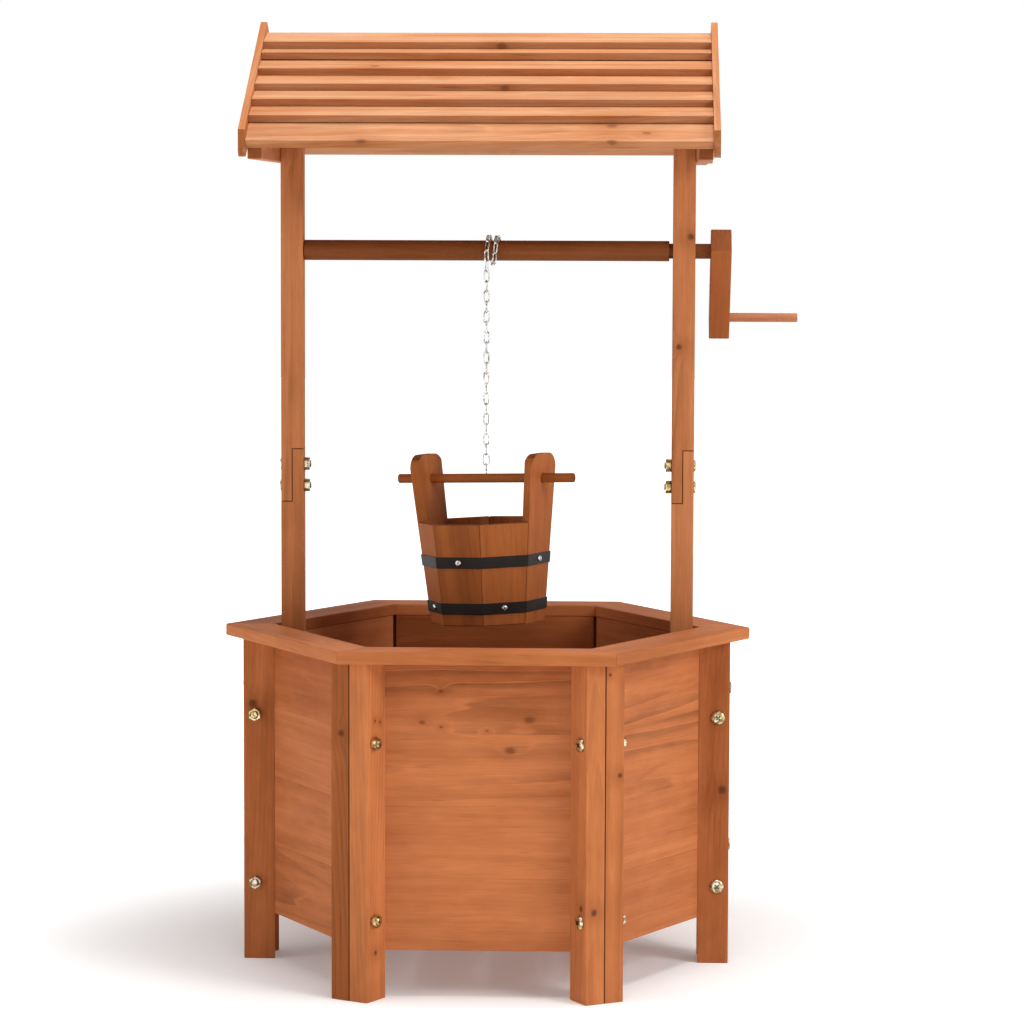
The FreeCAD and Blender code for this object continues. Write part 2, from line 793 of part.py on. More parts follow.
def build():
    """Write every node of the planter to parts."""
    os.makedirs("parts", exist_ok=True)
    corner_names = ("right", "back_right", "back_left", "left", "front_left", "front_right")
    side_names = ("right_back", "back", "left_back", "left_front", "front", "right_front")
    for i in range(side_count):
        save("leg_" + corner_names[i], leg_bars(i))
        save("panel_" + side_names[i], panel(i))
        save("rim_" + side_names[i], [rim_board(i)])
    save("floor_boards", floor_boards())
    save("floor_cleats", floor_cleats())
    slope_names = {-1: "front", 1: "back"}
    for side, name in ((-1, "left"), (1, "right")):
        save("lower_post_" + name, [lower_post(side)])
        save("upper_post_" + name, [upper_post(side)])
        save("tie_" + name, [tie(side)])
        for slope in (-1, 1):
            save("rafter_" + slope_names[slope] + "_" + name, [rafter(side, slope)])
            save("barge_board_" + slope_names[slope] + "_" + name, [barge_board(side, slope)])
    for slope in (-1, 1):
        save("roof_boards_" + slope_names[slope], roof_boards(slope))
    save("corner_bolts", corner_bolts())
    save("post_bolts", post_bolts())
    save("lap_bolts", lap_bolts())
    save("hex_nuts", hex_nuts())
    save("roller", [roller()])
    save("crank_arm", [crank_arm()])
    save("crank_handle", [crank_handle()])
    save("chain_turns", chain_turns())
    save("hanging_chain", hanging_chain())
    save("bucket_dowel", [bucket_dowel()])
    save("dowel_eye", [dowel_eye()])
    ears = (0, stave_count // 2)
    for i in range(stave_count):
        if i in ears:
            save("bucket_ear_" + ("right" if i == 0 else "left"), [ear_stave(i)])
        else:
            save("bucket_stave_" + str(i), [stave(i)])
    save("bucket_floor", [bucket_floor()])
    save("hoop_lower", [hoop(0)])
    save("hoop_upper", [hoop(1)])
    save("hoop_screws", hoop_screws())


build()
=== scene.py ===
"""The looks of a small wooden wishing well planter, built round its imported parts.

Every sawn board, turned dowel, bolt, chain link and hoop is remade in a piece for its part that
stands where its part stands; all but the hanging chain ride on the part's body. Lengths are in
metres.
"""

import logging
import math
import random
from collections import Counter
from collections.abc import Callable
from dataclasses import dataclass, replace
from enum import Enum

import bmesh
import bpy
import numpy as np
from bmesh.types import BMEdge, BMesh, BMFace, BMLayerItem, BMVert
from mathutils import Matrix, Vector
from mathutils.geometry import intersect_point_line


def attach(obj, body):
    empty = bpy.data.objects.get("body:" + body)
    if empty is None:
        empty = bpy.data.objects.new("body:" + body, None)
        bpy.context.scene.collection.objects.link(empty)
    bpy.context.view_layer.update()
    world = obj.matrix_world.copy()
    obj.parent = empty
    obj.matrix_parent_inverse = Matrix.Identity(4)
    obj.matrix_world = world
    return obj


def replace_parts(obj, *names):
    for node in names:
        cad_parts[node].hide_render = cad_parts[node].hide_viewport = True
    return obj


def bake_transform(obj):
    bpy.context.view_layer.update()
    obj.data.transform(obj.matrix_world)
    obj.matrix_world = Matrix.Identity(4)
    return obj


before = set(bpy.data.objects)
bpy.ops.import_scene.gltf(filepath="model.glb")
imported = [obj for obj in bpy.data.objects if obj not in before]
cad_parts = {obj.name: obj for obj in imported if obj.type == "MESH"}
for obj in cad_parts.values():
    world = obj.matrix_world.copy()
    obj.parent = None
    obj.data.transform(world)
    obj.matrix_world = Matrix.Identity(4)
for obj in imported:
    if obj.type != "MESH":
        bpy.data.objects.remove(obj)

logging.basicConfig(level=logging.INFO, format="%(message)s")
log = logging.getLogger("well")

MICRON = 1e-6
Colour = tuple[float, float, float]
Point = tuple[float, float, float]
Line = tuple[Vector, Vector]
Range = tuple[float, float]


class Body(Enum):
    """The bodies of the well that move as one."""

    FRAME = "frame"
    WINDLASS = "windlass"
    CHAIN = "chain"
    HANGER = "hanger"
    BUCKET = "bucket"


class Slot(Enum):
    """The record's material slots."""

    FRAME_WOOD = "frame_wood"
    ROOF_WOOD = "roof_wood"
    ROLLER_WOOD = "roller_wood"
    BUCKET_WOOD = "bucket_wood"
    HOOP_IRON = "hoop_iron"
    ZINC = "zinc"


class Attribute(Enum):
    """What each board's mesh tells its wood: places in metres, and plain shares."""

    GRAIN = "grain"
    KNOT = "knot"
    TONE = "tone"
    FIGURE = "figure"
    END_GRAIN_AND_RISER_SHADE = "end_grain_and_riser_shade"
    # Marks grooves between boards and screw recesses, which are darkened as painted shade.
    CREVICE_SHADE = "crevice_shade"


class Lumps(Enum):
    """How many lumps of a pattern a metre holds: along the grain, across it and into it."""

    FIBRE = (26.0, 1300.0, 1300.0)
    BRUSH = (3.5, 240.0, 240.0)
    DASH = (16.0, 330.0, 330.0)
    BLOTCH = (34.0, 60.0, 60.0)
    CLOUD = (5.0, 14.0, 14.0)
    RAGGED = (160.0, 420.0, 420.0)
    WANDER = (2.2, 16.0, 16.0)
    UNEVEN = (0.8, 70.0, 70.0)
    PATCH = (6.0, 26.0, 26.0)


# ---------------------------------------------------------------- materials


class Signal:
    """A value that flows through a material, so that sums of sockets read as sums."""

    def __init__(self, nodes: "Nodes", socket: bpy.types.NodeSocket) -> None:
        """Holds the output socket and the nodes that it belongs to."""
        self.nodes = nodes
        self.socket = socket

    def maths(self, operation: str, *others: "Signal | float") -> "Signal":
        """Returns this value put through one Math node, with the node's further inputs."""
        inputs = dict(enumerate([self, *others]))
        return self.nodes.node("ShaderNodeMath", {"operation": operation}, inputs)

    def __add__(self, other: "Signal | float") -> "Signal":
        """Returns self + other."""
        return self.maths("ADD", other)

    __radd__ = __add__

    def __sub__(self, other: "Signal | float") -> "Signal":
        """Returns self - other."""
        return self.maths("SUBTRACT", other)

    def __rsub__(self, other: float) -> "Signal":
        """Returns other - self."""
        return self.maths("MULTIPLY", -1.0).maths("ADD", other)

    def __mul__(self, other: "Signal | float") -> "Signal":
        """Returns self * other."""
        return self.maths("MULTIPLY", other)

    __rmul__ = __mul__

    def __truediv__(self, other: "Signal | float") -> "Signal":
        """Returns self / other."""
        return self.maths("DIVIDE", other)

    def bell(self, width: float) -> "Signal":
        """Returns a smooth hump: 1 where this value is 0, fading over width."""
        share = self / width
        return (share * share * -1.0).maths("EXPONENT")

    def between(self, low: float, high: float) -> "Signal":
        """Returns a smooth ramp from 0 at low to 1 at high."""
        inputs = {"Value": self, "From Min": low, "From Max": high}
        return self.nodes.node("ShaderNodeMapRange", {"interpolation_type": "SMOOTHSTEP"}, inputs)


class Nodes:
    """The nodes of a material or of the sky."""

    def __init__(self, tree: bpy.types.NodeTree) -> None:
        """Starts with the nodes that the tree has."""
        self.tree = tree

    def node(self, kind: str, settings: dict, inputs: dict, output: int | str = 0) -> Signal:
        """Adds one node.

        Args:
            kind: the node's type.
            settings: its properties, set before its inputs.
            inputs: values or signals by socket name or number.
            output: the name or number of the output wanted.

        Returns:
            That output.
        """
        made = self.tree.nodes.new(kind)
        for name, value in settings.items():
            setattr(made, name, value)
        for key, value in inputs.items():
            if isinstance(value, Signal):
                self.tree.links.new(value.socket, made.inputs[key])
            else:
                made.inputs[key].default_value = value
        return Signal(self, made.outputs[output])

    def parts(self, vector: Signal) -> list[Signal]:
        """Returns a vector's three numbers."""
        made = self.node("ShaderNodeSeparateXYZ", {}, {0: vector}).socket.node
        return [Signal(self, socket) for socket in made.outputs]

    def stretched(self, vector: Signal, factors: Point) -> Signal:
        """Returns a vector multiplied part by part."""
        return self.node("ShaderNodeVectorMath", {"operation": "MULTIPLY"}, {0: vector, 1: factors})

    def length(self, vector: Signal) -> Signal:
        """Returns a vector's length."""
        return self.node("ShaderNodeVectorMath", {"operation": "LENGTH"}, {0: vector}, "Value")

    def distance(self, vector: Signal, point: Point) -> Signal:
        """Returns how far a place is from a point."""
        inputs = {0: vector, 1: point}
        return self.node("ShaderNodeVectorMath", {"operation": "DISTANCE"}, inputs, "Value")

    def noise(self, vector: Signal, scale: float, detail: float = 2.0) -> Signal:
        """Returns noise from about -0.5 to 0.5, with scale lumps to a unit."""
        inputs = {"Vector": vector, "Scale": scale, "Detail": detail}
        return self.node("ShaderNodeTexNoise", {}, inputs) - 0.5

    def pattern(self, place: Signal, lumps: Point, detail: float = 2.0) -> Signal:
        """Returns noise drawn out along the grain, of so many lumps to a metre each way."""
        return self.noise(self.stretched(place, lumps), 1.0, detail)

    def mixed(self, share: Signal, first: "Signal | Colour", second: "Signal | Colour") -> Signal:
        """Returns a colour between two.

        Args:
            share: 0 for the first, 1 for the second.
            first: a colour.
            second: the other colour.

        Returns:
            The mixed colour.
        """
        ends = [end if isinstance(end, Signal) else (*end, 1.0) for end in (first, second)]
        # The Mix node has its colours at inputs 6 and 7, and the mixed colour at output 2.
        inputs = {0: share, 6: ends[0], 7: ends[1]}
        return self.node("ShaderNodeMix", {"data_type": "RGBA"}, inputs, output=2)

    def lit(self, colour: Signal, value: Signal) -> Signal:
        """Returns a colour made lighter or darker by value."""
        inputs = {0: colour, "Scale": value}
        return self.node("ShaderNodeVectorMath", {"operation": "SCALE"}, inputs)

    def here(self) -> Signal:
        """Returns the place on the piece in the well's own metres."""
        return self.node("ShaderNodeTexCoord", {}, {}, "Object")

    def seen(self) -> Signal:
        """Tells the rays that the eye follows, straight, by gloss or through glass.

        Returns:
            1 for such a ray, 0 for one that only brings light.
        """
        rays = self.node("ShaderNodeLightPath", {}, {}).socket.node
        camera, glossy, through = (
            Signal(self, rays.outputs[f"Is {kind} Ray"])
            for kind in ("Camera", "Glossy", "Transmission")
        )
        return (camera + glossy + through).between(0.0, 1.0)


class Shade(Nodes):
    """One material being made."""

    def __init__(self, name: str) -> None:
        """Starts a material that has a Principled shader only.

        Args:
            name: the material's name.
        """
        self.material = bpy.data.materials.new(name)
        self.material.use_nodes = True
        super().__init__(self.material.node_tree)
        self.shader = self.tree.nodes["Principled BSDF"]

    def vector(self, name: Attribute) -> Signal:
        """Returns a vector that the mesh holds."""
        return self.node("ShaderNodeAttribute", {"attribute_name": name.value}, {}, "Vector")

    def number(self, name: Attribute) -> Signal:
        """Returns a number that the mesh holds."""
        return self.node("ShaderNodeAttribute", {"attribute_name": name.value}, {}, "Fac")

    def relief(self, height: Signal, depth: float) -> None:
        """Raises the surface by height times depth metres."""
        inputs = {"Height": height, "Distance": depth, "Strength": 1.0}
        self.link("Normal", self.node("ShaderNodeBump", {}, inputs))

    def link(self, name: str, value: Signal) -> None:
        """Joins a changing value to the shader."""
        self.tree.links.new(value.socket, self.shader.inputs[name])

    def fix(self, **values: float | tuple) -> None:
        """Sets plain numbers on the shader's own sockets; a name's _ stands for a space."""
        for name, value in values.items():
            self.shader.inputs[name.replace("_", " ")].default_value = value


@dataclass(frozen=True)
class Knot:
    """A knot that shows on the well: where it is and its radius."""

    place: Point
    radius: float


@dataclass(frozen=True)
class WoodFinish:
    """Stained softwood: pale and dark stain, growth rings, fibre and knots, with painted shade in
    joint grooves and painted highlights on raised grain.
    """

    name: str
    slot: Slot
    pale: Colour
    dark: Colour
    knots: tuple[Knot, ...] = ()
    knot_shape: Point = (1.0, 1.0, 1.0)
    knot_share: float = 0.85
    knot_edge: Range = (0.35, 1.35)
    knot_rag: float = 0.80
    knot_reach: float = 3.6
    knot_stain: float = 0.20
    knot_shadow: float = 0.10
    knot_calm: float = 0.75
    heart: Colour = (0.120, 0.034, 0.011)
    ring_width: float = 0.0050
    ring_wander: float = 0.022
    ring_bend: float = 0.005
    ring_uneven: float = 0.90
    ring_share: float = 0.34
    ring_rise: Range = (0.20, 0.84)
    ring_fall: Range = (0.86, 0.93)
    patch_edge: Range = (-0.20, 0.20)
    ridge_highlight: float = 0.16
    line_middle: float = 0.95
    line_width: float = 0.05
    dash_share: float = 0.17
    dash_edge: Range = (0.10, 0.30)
    fibre_highlight_share: float = 0.15
    fibre_highlight_edge: Range = (0.12, 0.32)
    streak_pitch: float = 62.0
    streak_length: float = 3.0
    streak_share: float = 0.80
    cloud_share: float = 0.95
    blotch_share: float = 0.35
    fibre_share: float = 0.30
    brush_share: float = 0.22
    end_share: float = 0.25
    end_tone: float = 0.40
    crevice_shade_share: float = 0.80
    relief: float = 0.00030
    roughness: float = 0.62
    fibre_rough: float = 0.20
    ring_polish: float = 0.06
    gloss: float = 0.08

    def make(self) -> bpy.types.Material:
        """Returns the material of this wood."""
        shade = Shade(self.name)
        place = shade.vector(Attribute.GRAIN)
        nearest = self.nearest_knot(shade)
        swirl = nearest.bell(self.knot_reach)
        summer, edge = self.rings(shade, place, swirl)
        fibre = shade.pattern(place, Lumps.FIBRE.value)
        brush = shade.pattern(place, Lumps.BRUSH.value)
        ragged = shade.pattern(place, Lumps.RAGGED.value, detail=3.0)
        middle = 1.0 - (nearest + ragged * self.knot_rag).between(*self.knot_edge)
        inside = middle * self.knot_share
        ends = shade.number(Attribute.END_GRAIN_AND_RISER_SHADE)
        # End grain takes more stain; on roof risers the same darkening is partly painted shade.
        tone = self.tone(shade, place) - ends * self.end_tone - swirl * self.knot_stain
        # Lightening along each ring's raised line is a painted highlight.
        value = 1.0 - summer * self.ring_share + edge * self.ridge_highlight
        value = self.dashed(shade, place, value)
        value = value + fibre * self.fibre_share + brush * self.brush_share
        value = (value - swirl * self.knot_shadow) * (1.0 - ends * self.end_share)
        # Darkening in the joint grooves is painted shade.
        value = value * (1.0 - shade.number(Attribute.CREVICE_SHADE) * self.crevice_shade_share)
        stained = shade.mixed(inside, shade.mixed(tone, self.dark, self.pale), self.heart)
        shade.link("Base Color", shade.lit(stained, value))
        rough = self.roughness + fibre * self.fibre_rough - summer * self.ring_polish
        shade.link("Roughness", rough)
        height = edge * 0.8 - summer * 0.3 + fibre * 0.3 + brush * 0.5 - inside * 0.5
        shade.relief(height, self.relief)
        shade.fix(Specular_IOR_Level=self.gloss)
        return shade.material

    def tone(self, shade: Shade, place: Signal) -> Signal:
        """Draws how pale the stain came out, before knots and sawn ends.

        Args:
            shade: the material.
            place: the place in the board.

        Returns:
            The tone, 0 for dark and 1 for pale.
        """
        lumps = (self.streak_length, self.streak_pitch, self.streak_pitch)
        streak = shade.pattern(place, lumps)
        blotch = shade.pattern(place, Lumps.BLOTCH.value, detail=3.0)
        cloud = shade.pattern(place, Lumps.CLOUD.value, detail=3.0)
        tone = shade.number(Attribute.TONE) + cloud * self.cloud_share
        return tone + streak * self.streak_share + blotch * self.blotch_share

    def dashed(self, shade: Shade, place: Signal, value: Signal) -> Signal:
        """Adds the short dark pores of the fibre and pale painted highlights along it.

        Args:
            shade: the material.
            place: the place in the board.
            value: the lightness so far.

        Returns:
            The lightness with dashes.
        """
        dash = shade.pattern(place, Lumps.DASH.value)
        # The pale streaks are painted highlights of raised fibre.
        fibre_highlight = (0.0 - dash).between(*self.fibre_highlight_edge)
        return value - dash.between(*self.dash_edge) * self.dash_share + fibre_highlight * self.fibre_highlight_share

    def nearest_knot(self, shade: Shade) -> Signal:
        """Returns how far the nearest knot's middle is, in that knot's radii.

        Args:
            shade: the material.

        Returns:
            The distance.
        """
        nearest = shade.length(shade.vector(Attribute.KNOT))
        here = shade.stretched(shade.here(), self.knot_shape)
        for knot in self.knots:
            middle = tuple(part * scale for part, scale in zip(knot.place, self.knot_shape))
            nearest = nearest.maths("MINIMUM", shade.distance(here, middle) / knot.radius)
        return nearest

    def rings(self, shade: Shade, place: Signal, swirl: Signal) -> tuple[Signal, Signal]:
        """Draws the growth rings round the board's own pith.

        Args:
            shade: the material.
            place: the place in the board.
            swirl: 1 at a knot, fading away from it, where the rings bend aside.

        Returns:
            The dark summer wood and the raised line where each ring ends, both 0 to 1; that line is
            lifted in relief and lightened as a painted highlight.
        """
        _, across, deep = shade.parts(place)
        wander = shade.pattern(place, Lumps.WANDER.value) * self.ring_wander
        radius = (across * across + deep * deep).maths("SQRT") + wander + swirl * self.ring_bend
        uneven = shade.pattern(place, Lumps.UNEVEN.value) * self.ring_uneven
        ring = (radius / self.ring_width + uneven).maths("FRACT")
        shown = shade.pattern(place, Lumps.PATCH.value).between(*self.patch_edge)
        shown = shown * shade.number(Attribute.FIGURE) * (1.0 - swirl * self.knot_calm)
        summer = ring.between(*self.ring_rise) * (1.0 - ring.between(*self.ring_fall)) * shown
        return summer, (ring - self.line_middle).bell(self.line_width) * shown


@dataclass(frozen=True)
class ZincFinish:
    """Plated steel that is silver in places and greenish yellow in others, with mottles of painted
    dark reflection and painted shade in its recesses.
    """

    name: str
    slot: Slot
    silver: Colour
    yellow: Colour
    # The colour of the painted dark reflections and of the painted shade in recesses.
    shadow: Colour
    yellow_share: float
    dark_reflection_from: float = -0.18
    dark_reflection_to: float = 0.20
    cloud_pitch: float = 24.0
    smear_and_reflection_pitch: float = 260.0
    grit_pitch: float = 1500.0
    grit_share: float = 0.30
    relief: float = 0.00012
    roughness: float = 0.30

    def make(self) -> bpy.types.Material:
        """Returns the material of this plating."""
        shade = Shade(self.name)
        place = shade.here()
        cloud = shade.noise(place, self.cloud_pitch, detail=3.0)
        smear_and_reflection = shade.noise(place, self.smear_and_reflection_pitch, detail=2.0)
        grit = shade.noise(place, self.grit_pitch, detail=3.0)
        share = (cloud * 3.0 + self.yellow_share + grit * self.grit_share).between(0.0, 1.0)
        plated = shade.mixed(share, self.silver, self.yellow)
        # Mottles of painted dark reflection, and painted shade in screw recesses, turn the plating
        # to the shadow colour.
        dark_reflection_and_recess_shade = (smear_and_reflection + grit * self.grit_share).between(self.dark_reflection_from, self.dark_reflection_to)
        dark_reflection_and_recess_shade = dark_reflection_and_recess_shade.maths("MAXIMUM", shade.number(Attribute.CREVICE_SHADE))
        shade.link("Base Color", shade.mixed(dark_reflection_and_recess_shade, plated, self.shadow))
        shade.link("Roughness", self.roughness + grit * 0.30 + smear_and_reflection * 0.25)
        shade.relief(grit * 0.5 + smear_and_reflection, self.relief)
        shade.fix(Metallic=1.0)
        return shade.material


@dataclass(frozen=True)
class IronFinish:
    """Flat bar painted black, a little dusty, thin at its edges."""

    name: str
    slot: Slot
    paint: Colour
    dust: Colour
    cloud_pitch: float = 38.0
    grit_pitch: float = 1100.0
    worn_edge: Range = (0.52, 0.60)
    relief: float = 0.00008
    roughness: float = 0.50
    gloss: float = 0.14

    def make(self) -> bpy.types.Material:
        """Returns the material of this painted iron."""
        shade = Shade(self.name)
        place = shade.here()
        cloud = shade.noise(place, self.cloud_pitch, detail=4.0)
        grit = shade.noise(place, self.grit_pitch, detail=3.0)
        worn = shade.node("ShaderNodeNewGeometry", {}, {}, "Pointiness").between(*self.worn_edge)
        dusty = (cloud + grit * 0.5).between(-0.05, 0.35) * 0.6 + worn * 0.5
        shade.link("Base Color", shade.mixed(dusty, self.paint, self.dust))
        shade.link("Roughness", self.roughness + cloud * 0.20 + grit * 0.20)
        shade.relief(grit + cloud, self.relief)
        shade.fix(Specular_IOR_Level=self.gloss)
        return shade.material


Finish = WoodFinish | ZincFinish | IronFinish

POST_KNOTS = (
    Knot((0.1869, -0.0125, 0.6928), 0.0034),
    Knot((0.1993, -0.0125, 0.8149), 0.0040),
)
TUB_KNOTS = (
    Knot((-0.1354, -0.2346, 0.3023), 0.0018),
    Knot((-0.1307, -0.2264, 0.3001), 0.0018),
    Knot((-0.1349, -0.2338, 0.0520), 0.0030),
    Knot((-0.1719, -0.2313, 0.2886), 0.0042),
    Knot((-0.2888, -0.0230, 0.2910), 0.0050),
    Knot((0.0986, -0.2430, 0.0996), 0.0040),
    Knot((0.0846, -0.2385, 0.1029), 0.0036),
    Knot((0.1146, -0.2338, 0.3535), 0.0022),
    Knot((0.1253, -0.2276, 0.2450), 0.0030),
    Knot((0.2385, -0.0230, 0.1970), 0.0050),
)
PANEL_KNOTS = (
    Knot((0.0284, -0.2175, 0.3023), 0.0045),
    Knot((0.0082, -0.2175, 0.2688), 0.0042),
    Knot((-0.0864, -0.2175, 0.2987), 0.0026),
    Knot((-0.0661, -0.2175, 0.2940), 0.0015),
    Knot((-0.0661, -0.2175, 0.3327), 0.0020),
    Knot((-0.0169, -0.2175, 0.2901), 0.0012),
)
ROOF_KNOTS = (
    Knot((-0.0100, -0.0425, 1.0236), 0.0042),
    Knot((-0.1463, -0.0892, 0.9997), 0.0040),
    Knot((-0.1504, -0.2295, 0.9158), 0.0042),
    Knot((0.1131, -0.2292, 0.9154), 0.0038),
    Knot((0.1127, -0.1988, 0.9328), 0.0044),
    Knot((0.1497, -0.2129, 0.9252), 0.0034),
    Knot((-0.0031, -0.1309, 0.9747), 0.0036),
)
LONG_KNOT = (0.65, 1.0, 1.0)

FRAME_WOOD = WoodFinish(
    "frame_wood", Slot.FRAME_WOOD, (0.645, 0.220, 0.077), (0.320, 0.092, 0.025), TUB_KNOTS
)
PANEL_WOOD = WoodFinish(
    "panel_wood",
    Slot.FRAME_WOOD,
    (0.635, 0.218, 0.080),
    (0.350, 0.100, 0.030),
    PANEL_KNOTS,
    knot_shape=LONG_KNOT,
    knot_share=0.62,
    ring_width=0.0095,
    relief=0.00045,
    crevice_shade_share=0.14,
)
ROOF_WOOD = WoodFinish(
    "roof_wood",
    Slot.ROOF_WOOD,
    (0.565, 0.290, 0.152),
    (0.415, 0.132, 0.038),
    ROOF_KNOTS,
    knot_shape=LONG_KNOT,
    knot_share=0.55,
    streak_share=1.6,
    streak_pitch=110.0,
    fibre_share=0.32,
    dash_share=0.28,
)
POST_WOOD = replace(
    FRAME_WOOD,
    name="post_wood",
    pale=(0.590, 0.222, 0.086),
    dark=(0.320, 0.098, 0.029),
    knots=POST_KNOTS,
)
RIM_WOOD = replace(FRAME_WOOD, name="rim_wood", crevice_shade_share=0.25, knots=())
CRANK_WOOD = replace(FRAME_WOOD, name="crank_wood", slot=Slot.ROLLER_WOOD, knots=())
HANDLE_WOOD = replace(
    CRANK_WOOD, name="handle_wood", pale=(0.560, 0.250, 0.130), dark=(0.380, 0.130, 0.058)
)
ROLLER_WOOD = WoodFinish(
    "roller_wood", Slot.ROLLER_WOOD, (0.260, 0.080, 0.022), (0.115, 0.032, 0.009), cloud_share=0.5
)
BUCKET_WOOD = WoodFinish(
    "bucket_wood", Slot.BUCKET_WOOD, (0.455, 0.136, 0.035), (0.215, 0.055, 0.013)
)
DOWEL_WOOD = replace(BUCKET_WOOD, name="dowel_wood", slot=Slot.ROLLER_WOOD)
YELLOW_ZINC = ZincFinish(
    "yellow_zinc",
    Slot.ZINC,
    silver=(0.86, 0.82, 0.74),
    yellow=(0.74, 0.58, 0.27),
    shadow=(0.16, 0.12, 0.05),
    yellow_share=0.6,
)
BRIGHT_ZINC = ZincFinish(
    "bright_zinc",
    Slot.ZINC,
    silver=(0.68, 0.68, 0.66),
    yellow=(0.56, 0.54, 0.48),
    shadow=(0.10, 0.095, 0.09),
    yellow_share=0.25,
    dark_reflection_from=-0.12,
    dark_reflection_to=0.26,
)
BLACK_IRON = IronFinish(
    "black_iron", Slot.HOOP_IRON, (0.008, 0.0052, 0.0042), (0.022, 0.016, 0.012)
)


class Paints:
    """Makes each finish's material once."""

    def __init__(self) -> None:
        """Starts with no materials."""
        self.made: dict[str, bpy.types.Material] = {}

    def of(self, finish: Finish) -> bpy.types.Material:
        """Returns the material of a finish.

        Args:
            finish: the finish.

        Returns:
            Its one material.
        """
        if finish.name not in self.made:
            self.made[finish.name] = finish.make()
        return self.made[finish.name]


paints = Paints()


# ---------------------------------------------------------------- reading the parts

SAME_PLACE = 2 * MICRON
FLAT = math.radians(0.4)


def shells(node: str) -> list[BMesh]:
    """Returns each closed solid of a part as a mesh of its own.

    A part lists its triangles solid by solid, so a solid is whole as soon as every edge
    met so far has its pair.

    Args:
        node: the part's node.

    Returns:
        The solids with merged corners and whole flat faces, which the caller frees.
    """
    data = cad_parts[node].data
    corners = [corner_key(vertex.co) for vertex in data.vertices]
    unpaired: Counter = Counter()
    solids: list[set[int]] = [set()]
    for polygon in data.polygons:
        ring = [corners[index] for index in polygon.vertices]
        for edge in zip(ring, ring[1:] + ring[:1]):
            if unpaired[edge[::-1]]:
                unpaired[edge[::-1]] -= 1
            else:
                unpaired[edge] += 1
        unpaired = +unpaired
        solids[-1].add(polygon.index)
        if not unpaired:
            solids.append(set())
    return [whole_faced(data, faces) for faces in solids[:-1]]


def corner_key(point: Vector) -> tuple[int, int, int]:
    """Returns a point in whole microns, so that corners that meet are equal."""
    return tuple(round(part * 1e6) for part in point)


def corner_keys(vertices: list) -> set[tuple[int, int, int]]:
    """Returns the places of many corners."""
    return {corner_key(vertex.co) for vertex in vertices}


def whole_faced(data: bpy.types.Mesh, faces: set[int]) -> BMesh:
    """Copies some faces of a mesh, merges their corners and makes flat faces whole.

    Args:
        data: the mesh.
        faces: the numbers of the faces wanted.

    Returns:
        The copy.
    """
    mesh = bmesh.new()
    mesh.from_mesh(data)
    others = [face for face in mesh.faces if face.index not in faces]
    bmesh.ops.delete(mesh, geom=others, context="FACES")
    bmesh.ops.remove_doubles(mesh, verts=mesh.verts, dist=SAME_PLACE)
    bmesh.ops.dissolve_limit(mesh, angle_limit=FLAT, verts=mesh.verts, edges=mesh.edges)
    mesh.verts.index_update()
    return mesh


def joined(meshes: list[BMesh]) -> BMesh:
    """Puts several meshes into one.

    Args:
        meshes: the meshes, which are freed.

    Returns:
        The one mesh.
    """
    whole = bmesh.new()
    for mesh in meshes:
        carrier = bpy.data.meshes.new("carrier")
        mesh.to_mesh(carrier)
        mesh.free()
        whole.from_mesh(carrier)
        bpy.data.meshes.remove(carrier)
    return whole


@dataclass(frozen=True)
class Stand:
    """Where one solid stands: its middle, three square directions and its reach along each."""

    centre: Vector
    along: Vector
    wide: Vector
    thick: Vector
    reach: tuple[float, float, float]

    def matrix(self, origin: Vector) -> Matrix:
        """Returns the matrix that puts a pattern's origin here, its Z along this solid."""
        turn = Matrix((self.wide, self.thick, self.along)).transposed()
        return Matrix.Translation(origin) @ turn.to_4x4()


def corners_of(solid: BMesh) -> np.ndarray:
    """Returns a solid's corners as rows."""
    return np.array([vertex.co for vertex in solid.verts])


def stand(points: np.ndarray, along: Vector, thick: Vector) -> Stand:
    """Measures a solid along two square directions.

    Args:
        points: the solid's corners.
        along: its long direction.
        thick: a direction square to it.

    Returns:
        The measured stand.
    """
    wide = thick.cross(along).normalized()
    ways = np.array([along, wide, thick])
    reach = points @ ways.T
    middle = (reach.max(0) + reach.min(0)) / 2
    size = (reach.max(0) - reach.min(0)) / 2
    return Stand(Vector(middle @ ways), along, wide, thick, tuple(size))


def board_stand(solid: BMesh) -> Stand:
    """Finds a board's grain direction from its longest edge and its face from its largest.

    Args:
        solid: the board.

    Returns:
        Where it stands.
    """
    edge = max(solid.edges, key=lambda item: item.calc_length())
    along = (edge.verts[0].co - edge.verts[1].co).normalized()
    sides = [face for face in solid.faces if abs(face.normal.dot(along)) < 0.1]
    thick = max(sides, key=lambda face: face.calc_area()).normal.copy()
    thick = (thick - along * thick.dot(along)).normalized()
    return stand(corners_of(solid), along, thick)


def link_stand(solid: BMesh) -> Stand:
    """Finds how a bent wire lies: its length, pointing up, its width and its flat.

    Args:
        solid: the wire.

    Returns:
        Where it stands.
    """
    points = corners_of(solid)
    flat, _, long = np.linalg.eigh(np.cov(points.T))[1].T
    return stand(points, Vector(long * math.copysign(1.0, long[2])), Vector(flat))


